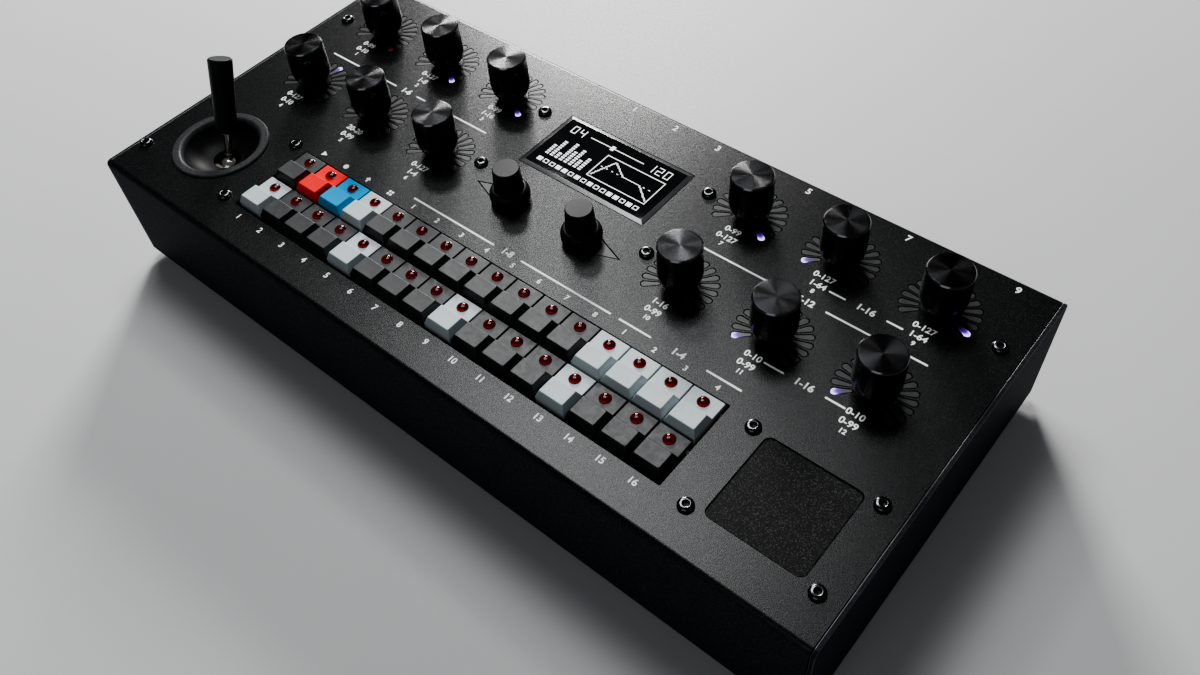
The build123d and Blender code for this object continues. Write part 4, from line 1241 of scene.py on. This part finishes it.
def build_pad():
    g = Geo()
    cx, cy = PAD_C
    hx, hy, rc = PAD[0] / 2 - 0.15, PAD[1] / 2 - 0.15, 2.6
    n = 216
    u = np.linspace(0, 1, n)
    U, V = np.meshgrid(u, u, indexing="ij")
    X, Y = (2 * U - 1) * hx, (2 * V - 1) * hy
    # pull the corners in onto the rounded outline
    ax, ay = np.abs(X) - (hx - rc), np.abs(Y) - (hy - rc)
    m = (ax > 0) & (ay > 0)
    big = np.maximum(ax, ay)
    d = np.hypot(ax, ay)
    k = np.where(m, big / np.maximum(d, 1e-9), 1.0)
    X = np.where(m, np.sign(X) * (hx - rc + ax * k), X)
    Y = np.where(m, np.sign(Y) * (hy - rc + ay * k), Y)
    h = 0.45 * value_noise(U, V, 72, 3) + 0.65 * value_noise(U, V, 107, 5)
    edge = np.minimum.reduce([U, 1 - U, V, 1 - V])
    fade = np.clip(edge * 70, 0, 1)
    Z = -0.42 - 0.10 * (1 - fade) ** 2 + 0.035 * (h - 0.55) * fade
    idx = np.arange(n * n).reshape(n, n)
    verts = [(cx + a, cy + b, c) for a, b, c in zip(X.ravel(), Y.ravel(), Z.ravel())]
    faces = [[idx[i, j], idx[i + 1, j], idx[i + 1, j + 1], idx[i, j + 1]]
             for i in range(n - 1) for j in range(n - 1)]
    rim = list(idx[:, 0]) + list(idx[-1, 1:]) + list(idx[-2::-1, -1]) + list(idx[0, -2:0:-1])
    base = len(verts)
    verts += [(verts[i][0], verts[i][1], -1.52) for i in rim]
    nr = len(rim)
    faces += [[rim[(k + 1) % nr], rim[k], base + k, base + (k + 1) % nr] for k in range(nr)]
    faces.append([base + k for k in range(nr)][::-1])
    g.add(verts, faces, 0)
    g.slab(rrect(cx - 19.8, cx + 19.8, cy - 19.8, cy + 19.8, 1.0, 4), -3.4, -1.55, 0.1, 2, 0)
    me = g.mesh("pad_surface", [M["pad"]], 60)
    put("pad_surface", me, "case", ["touch_pad"], modifiers=False)


# ------------------------------------------------------------------ joystick
def build_joystick():
    g = Geo()
    place = lambda a, b, h: (JOY[0] + a, JOY[1] + b, h)
    arc = lambda p, q, r, n: arc3(p, q, r, n)
    under = arc3((17.9, -0.2), (13.1, -5.7), (6.0, -8.4), 18)
    inner = [(5.85, -7.36)] + arc3((6.0, -7.3), (12.0, -4.9), (15.75, -0.7), 26)
    rim = [(15.75, -0.7), (15.95, -0.22), (16.2, 0.18), (16.5, 0.5), (16.85, 0.76), (17.25, 0.93), (17.7, 1.0)]
    rim += soften([(17.75, 1.0), (19.75, 1.0), (20.25, 0.55), (20.25, 0.0), (17.9, 0.0)], [0.3, 0.25, 0.02], 4)
    # from the under side round the hole, up the bowl and over the flange
    prof = under[:-1] + [(6.0, -8.4), (5.9, -8.36), (5.85, -8.28)] + inner[:-1] + rim + [(17.9, -0.2)]
    prof = prof[::-1]
    mats = []
    for (r0, h0), (r1, h1) in zip(prof[:-1], prof[1:]):
        rm, hm = (r0 + r1) / 2, (h0 + h1) / 2
        mats.append(0 if (rm > 15.8 and hm > -0.5) or rm > 17.95 else 1)
    g.lathe(prof, place, 128, mats=mats)
    # bearing cheeks, bored for the pins of the gimbal ring
    angs = sorted([TAU * k / 44 for k in range(44)]
                  + [math.atan2(h, w) % TAU for w in (-5.5, 5.5) for h in (-4.5, 3.4)])

    def side(x, e):
        o = []
        for a in angs:
            c, s = math.cos(a), math.sin(a)
            t = min((5.5 - e) / max(abs(c), 1e-9), ((3.4 if s > 0 else 4.5) - e) / max(abs(s), 1e-9))
            o.append((x, JOY[1] + t * c, -12.0 + t * s))
        return o

    def bore(x, r):
        return [(x, JOY[1] + r * math.cos(a), -12.0 + r * math.sin(a)) for a in angs]

    for x in (JOY[0] - 9.6, JOY[0] + 9.6):
        loops = [side(x - 1.4, 0.2), side(x - 1.2, 0.0), side(x + 1.2, 0.0), side(x + 1.4, 0.2),
                 bore(x + 1.4, 1.45), bore(x + 1.27, 1.32), bore(x - 1.27, 1.32), bore(x - 1.4, 1.45)]
        n, c = len(angs), len(loops)
        g.add([q for o in loops for q in o],
              [[k * n + i, k * n + (i + 1) % n, (k + 1) % c * n + (i + 1) % n, (k + 1) % c * n + i]
               for k in range(c) for i in range(n)], 1)
    me = g.mesh("joystick_bowl", [M["flange"], M["bowl"]], 40)
    put("joystick_bowl", me, "case", ["joystick_housing"])

    # stick: turned ball and shaft, moulded sleeve; built upright, then leaned
    lean_y, lean_x = math.radians(22.9), math.radians(-9.3)
    ca, sa, cb, sb = math.cos(lean_y), math.sin(lean_y), math.cos(lean_x), math.sin(lean_x)
    up = Vector((sb, cb * sa, cb * ca))
    ex = Vector((cb, -sb * sa, -sb * ca))
    ey = up.cross(ex)
    foot = Vector((JOY[0], JOY[1], -12.0))
    pl = lambda a, b, h: tuple(foot + ex * a + ey * b + up * h)
    g = Geo()
    ball = [(0.0, -8.0), (1.3, -8.0), (1.5, -7.8), (1.5, -4.40)]
    a0 = math.asin(1.5 / 4.62)
    for k in range(33):
        a = math.pi - a0 - (math.pi - 2 * a0) * k / 32
        ball.append((4.62 * math.sin(a), 4.62 * math.cos(a)))
    ball += [(1.5, 4.40)]
    # collar and shaft
    ball += soften([(1.5, 4.7), (2.0, 5.0), (2.0, 5.9), (1.75, 6.3), (1.5, 15.6)], [0.15, 0.15, 0.15, 0.1], 3)
    g.lathe(ball, pl, 64, mats=[2 if 3 <= k < 37 else 0 for k in range(len(ball) - 1)])
    sleeve = soften([(1.45, 15.6), (1.45, 15.3), (4.05, 15.3), (4.42, 15.75), (5.0, 45.5), (4.55, 46.1),
                     (3.6, 46.1), (3.2, 46.05), (0.0, 46.05)], [0.05, 0.2, 0.4, 0.35, 0.3, 0.3, 0.3], 5)
    rings = []
    for (r0, h0), (r1, h1) in zip(sleeve[:-1], sleeve[1:]):
        rings.append((r0, h0))
        if h1 - h0 > 5:
            for k in range(1, 30):
                t = k / 30
                rings.append((r0 + (r1 - r0) * t, h0 + (h1 - h0) * t))
    rings.append(sleeve[-1])
    g.lathe(rings, pl, 64, 1)
    # cross pin
    yo = Vector((0, ca, -sa))
    zo = Vector((1, 0, 0))
    wo = yo.cross(zo)
    pp = lambda a, b, h: tuple(foot + zo * a + wo * b + yo * h)
    g.lathe([(0.0, -6.2), (1.1, -6.2), (1.2, -6.1), (1.2, 6.1), (1.1, 6.2), (0.0, 6.2)], pp, 24, 0)
    me = g.mesh("stick_and_sleeve", [M["nickel"], M["sleeve"], M["ball"]], 40)
    put("stick_and_sleeve", me, "joystick_stick", ["joystick_stick"])


def arc3(p, q, r, n):
    """n + 1 points on the circle through p, q and r, from p to r."""
    ax, ay, bx, by, cx, cy = *p, *q, *r
    d = 2 * (ax * (by - cy) + bx * (cy - ay) + cx * (ay - by))
    ux = ((ax * ax + ay * ay) * (by - cy) + (bx * bx + by * by) * (cy - ay) + (cx * cx + cy * cy) * (ay - by)) / d
    uy = ((ax * ax + ay * ay) * (cx - bx) + (bx * bx + by * by) * (ax - cx) + (cx * cx + cy * cy) * (bx - ax)) / d
    rad = math.hypot(ax - ux, ay - uy)
    a0, am, a1 = (math.atan2(y - uy, x - ux) for x, y in (p, q, r))
    span = (a1 - a0) % TAU
    if (am - a0) % TAU > span:
        span -= TAU
    return [(ux + rad * math.cos(a0 + span * k / n), uy + rad * math.sin(a0 + span * k / n)) for k in range(n + 1)]


# ------------------------------------------------------------------ print
def build_print():
    g = Geo()
    z0, z1 = -0.01, 0.03

    def sheet(o):
        n = len(o)
        g.rings([[(a, b, z0) for a, b in o], [(a, b, z1) for a, b in o]], 0, cap0=True, cap1=True)

    def line(xa, xb, y, w=0.78):
        sheet(rrect(xa, xb, y - w / 2, y + w / 2, w / 2 - 0.01, 4))

    def number(text, x, y, h=2.5, bold=0.09):
        cu = bpy.data.curves.new("number", "FONT")
        cu.body = text
        cu.align_x, cu.align_y = "CENTER", "CENTER"
        cu.size = h * 1.42
        cu.offset = bold
        cu.resolution_u = 4
        ob = bpy.data.objects.new("number", cu)
        bpy.context.scene.collection.objects.link(ob)
        dg = bpy.context.evaluated_depsgraph_get()
        me = bpy.data.meshes.new_from_object(ob.evaluated_get(dg))
        bm = bmesh.new()
        bm.from_mesh(me)
        bmesh.ops.remove_doubles(bm, verts=bm.verts, dist=1e-5)
        low = [v for v in bm.verts]
        ext = bmesh.ops.extrude_face_region(bm, geom=list(bm.faces))
        up = [e for e in ext["geom"] if isinstance(e, bmesh.types.BMVert)]
        for v in up:
            v.co.z += z1 - z0
        bm.verts.ensure_lookup_table()
        bm.verts.index_update()
        verts = [(v.co.x + x, v.co.y + y, z0 + v.co.z) for v in bm.verts]
        faces = [[v.index for v in f.verts] for f in bm.faces]
        g.add(verts, faces, 0)
        bm.free()
        bpy.data.objects.remove(ob)
        bpy.data.curves.remove(cu)
        bpy.data.meshes.remove(me)

    # steps along the lower row, voices along the upper one
    for i, x in enumerate(KEY_X):
        number(str(i + 1), x, 13.1, 2.5)
    for i in range(4, 16):
        number(str(i - 3 if i < 12 else i - 11), KEY_X[i], 57.9, 2.2)
    # transport marks: start, record, shift, grid
    x, y = KEY_X[0], 57.9
    sheet([(x - 1.1, y - 1.3), (x + 1.4, y), (x - 1.1, y + 1.3)])
    sheet(circle(KEY_X[1], y, 1.2, 28))
    x = KEY_X[2]
    sheet([(x - 0.45, y - 1.3), (x + 0.45, y - 1.3), (x + 0.45, y + 0.1), (x + 1.3, y + 0.1), (x, y + 1.4),
           (x - 1.3, y + 0.1), (x - 0.45, y + 0.1)])
    x = KEY_X[3]
    for a in (-0.7, 0.7):
        for b in (-0.7, 0.7):
            sheet(rrect(x + a - 0.5, x + a + 0.5, y + b - 0.5, y + b + 0.5, 0.15, 3))
    # group lines
    for xa, xb, yy in ((122.6, 166.0, 61.5), (179.5, 222.4, 61.5), (226.0, 240.2, 61.5), (263.6, 277.9, 61.5),
                       (23.6, 65.0, 106.3), (77.7, 119.1, 106.3), (225.0, 265.0, 106.5), (281.4, 320.5, 106.5),
                       (277.3, 284.1, 115.3), (300.0, 306.4, 115.3), (276.8, 284.8, 75.7), (300.5, 308.2, 75.7)):
        line(xa, xb, yy)
    number("1-8", 172.75, 61.5, 2.8, 0.14)
    number("1-4", 251.9, 61.5, 2.8, 0.14)
    number("1-6", 71.35, 106.3, 2.8, 0.14)
    number("7-12", 273.2, 106.5, 2.8, 0.14)
    number("1-16", 292.0, 115.3, 2.8, 0.14)
    number("1-16", 292.6, 75.7, 2.8, 0.14)
    # scales under the knobs
    scales = (("0-99", "0-10"), ("0-127", "1-8"), ("0-99", "1-16"), ("0-127", "0-10"), ("20-20", "0-99"), ("0-127", "1-4"),
              ("0-99", "0-127"), ("0-127", "1-64"), ("0-127", "1-64"), ("1-16", "0-99"), ("0-10", "0-99"), ("0-10", "0-99"))
    for k, (x, y) in enumerate(ENC):
        d = 11.0 if y > 100 else 11.8
        number(scales[k][0], x, y - d, 2.6)
        number(scales[k][1], x, y - d - 4.3, 2.6)
        number(str(k + 1), x, y - d - 7.9, 1.9)
    # numbers of the jacks along the rear edge
    for k, x in enumerate(JACK_X):
        number(str(9 - k), x, 153.8, 3.0)
    me = g.mesh("panel_print", [M["print"]], 30, merge=1e-9)
    put("panel_print", me, "case", (), modifiers=False)


build_cover()
build_tray()
build_rear()
build_fasteners()
build_feet()
for row in ROW_DY:
    for i in range(16):
        build_key(row, i)
build_switches()
build_knobs()
build_guides()
build_display()
build_pad()
build_joystick()
build_print()

# carried-over nodes keep their shape and take a finish
for name, mat in (("control_board", M["board"]), ("joystick_yoke", M["nickel"])):
    nodes[name].data.materials.clear()
    nodes[name].data.materials.append(mat)


# ------------------------------------------------------------------ stage
def build_stage():
    m = Mat("pale_floor")
    soft = m.noise(6.0, 3.0, 0.5)
    fine = m.noise(700.0, 3.0, 0.6)
    col = m.mix(soft, (0.56, 0.56, 0.556), (0.61, 0.61, 0.606))
    m.shader(col, m.map(fine, 0.3, 0.7, 0.55, 0.7), m.bump(fine, 0.15, 0.0002))
    me = bpy.data.meshes.new("floor")
    s = 4.0
    me.from_pydata([(-s, -s, 0), (s, -s, 0), (s, s, 0), (-s, s, 0)], [], [[0, 1, 2, 3]])
    me.materials.append(m.mat)
    ob = bpy.data.objects.new("floor", me)
    bpy.context.scene.collection.objects.link(ob)

    world = bpy.data.worlds.new("studio")
    bpy.context.scene.world = world
    world.use_nodes = True
    bg = world.node_tree.nodes["Background"]
    bg.inputs["Color"].default_value = (0.93, 0.96, 1.0, 1)
    bg.inputs["Strength"].default_value = 0.06

    def area_light(name, loc, aim, size, size_y, power, color=(1, 1, 1)):
        la = bpy.data.lights.new(name, "AREA")
        la.shape = "RECTANGLE"
        la.size, la.size_y, la.energy, la.color = size, size_y, power, color
        ob = bpy.data.objects.new(name, la)
        ob.location = loc
        ob.rotation_euler = (Vector(aim) - Vector(loc)).to_track_quat("-Z", "Y").to_euler()
        bpy.context.scene.collection.objects.link(ob)

    area_light("back_softbox", (-0.85, 0.99, 0.60), (0.0, 0.0, 0.05), 0.32, 0.26, 23.0, (1.0, 0.995, 0.985))
    area_light("mid_softbox", (-0.7205, 0.6176, 1.077), (0.0, 0.0, 0.05), 0.16, 0.14, 3.0, (0.985, 0.995, 1.0))
    area_light("high_softbox", (-0.44, 0.39, 1.26), (0.0, 0.0, 0.05), 0.60, 0.40, 9.8, (0.97, 0.99, 1.0))
    area_light("front_fill", (0.35, -1.22, 0.9), (0.0, 0.0, 0.03), 0.9, 0.9, 2.5, (0.88, 0.94, 1.0))


build_stage()

# ------------------------------------------------------------------ camera
cam = bpy.data.cameras.new("camera")
cam.sensor_fit, cam.sensor_width, cam.lens = "HORIZONTAL", 36.0, 31.588
cam.clip_start, cam.clip_end = 0.01, 20.0
cam_ob = bpy.data.objects.new("camera", cam)
right = Vector((0.76798477, 0.63732183, -0.06340564))
down = Vector((0.4656947, -0.62363512, -0.62785961))
fwd = Vector((-0.43969062, 0.45265894, -0.77573967))
rot = Matrix((right, -down, -fwd)).transposed()
cam_ob.matrix_world = Matrix.Translation((0.213016, -0.193175, 0.336730)) @ rot.to_4x4()
bpy.context.scene.collection.objects.link(cam_ob)
bpy.context.scene.camera = cam_ob
bpy.context.scene.view_settings.look = "AgX - Medium High Contrast"
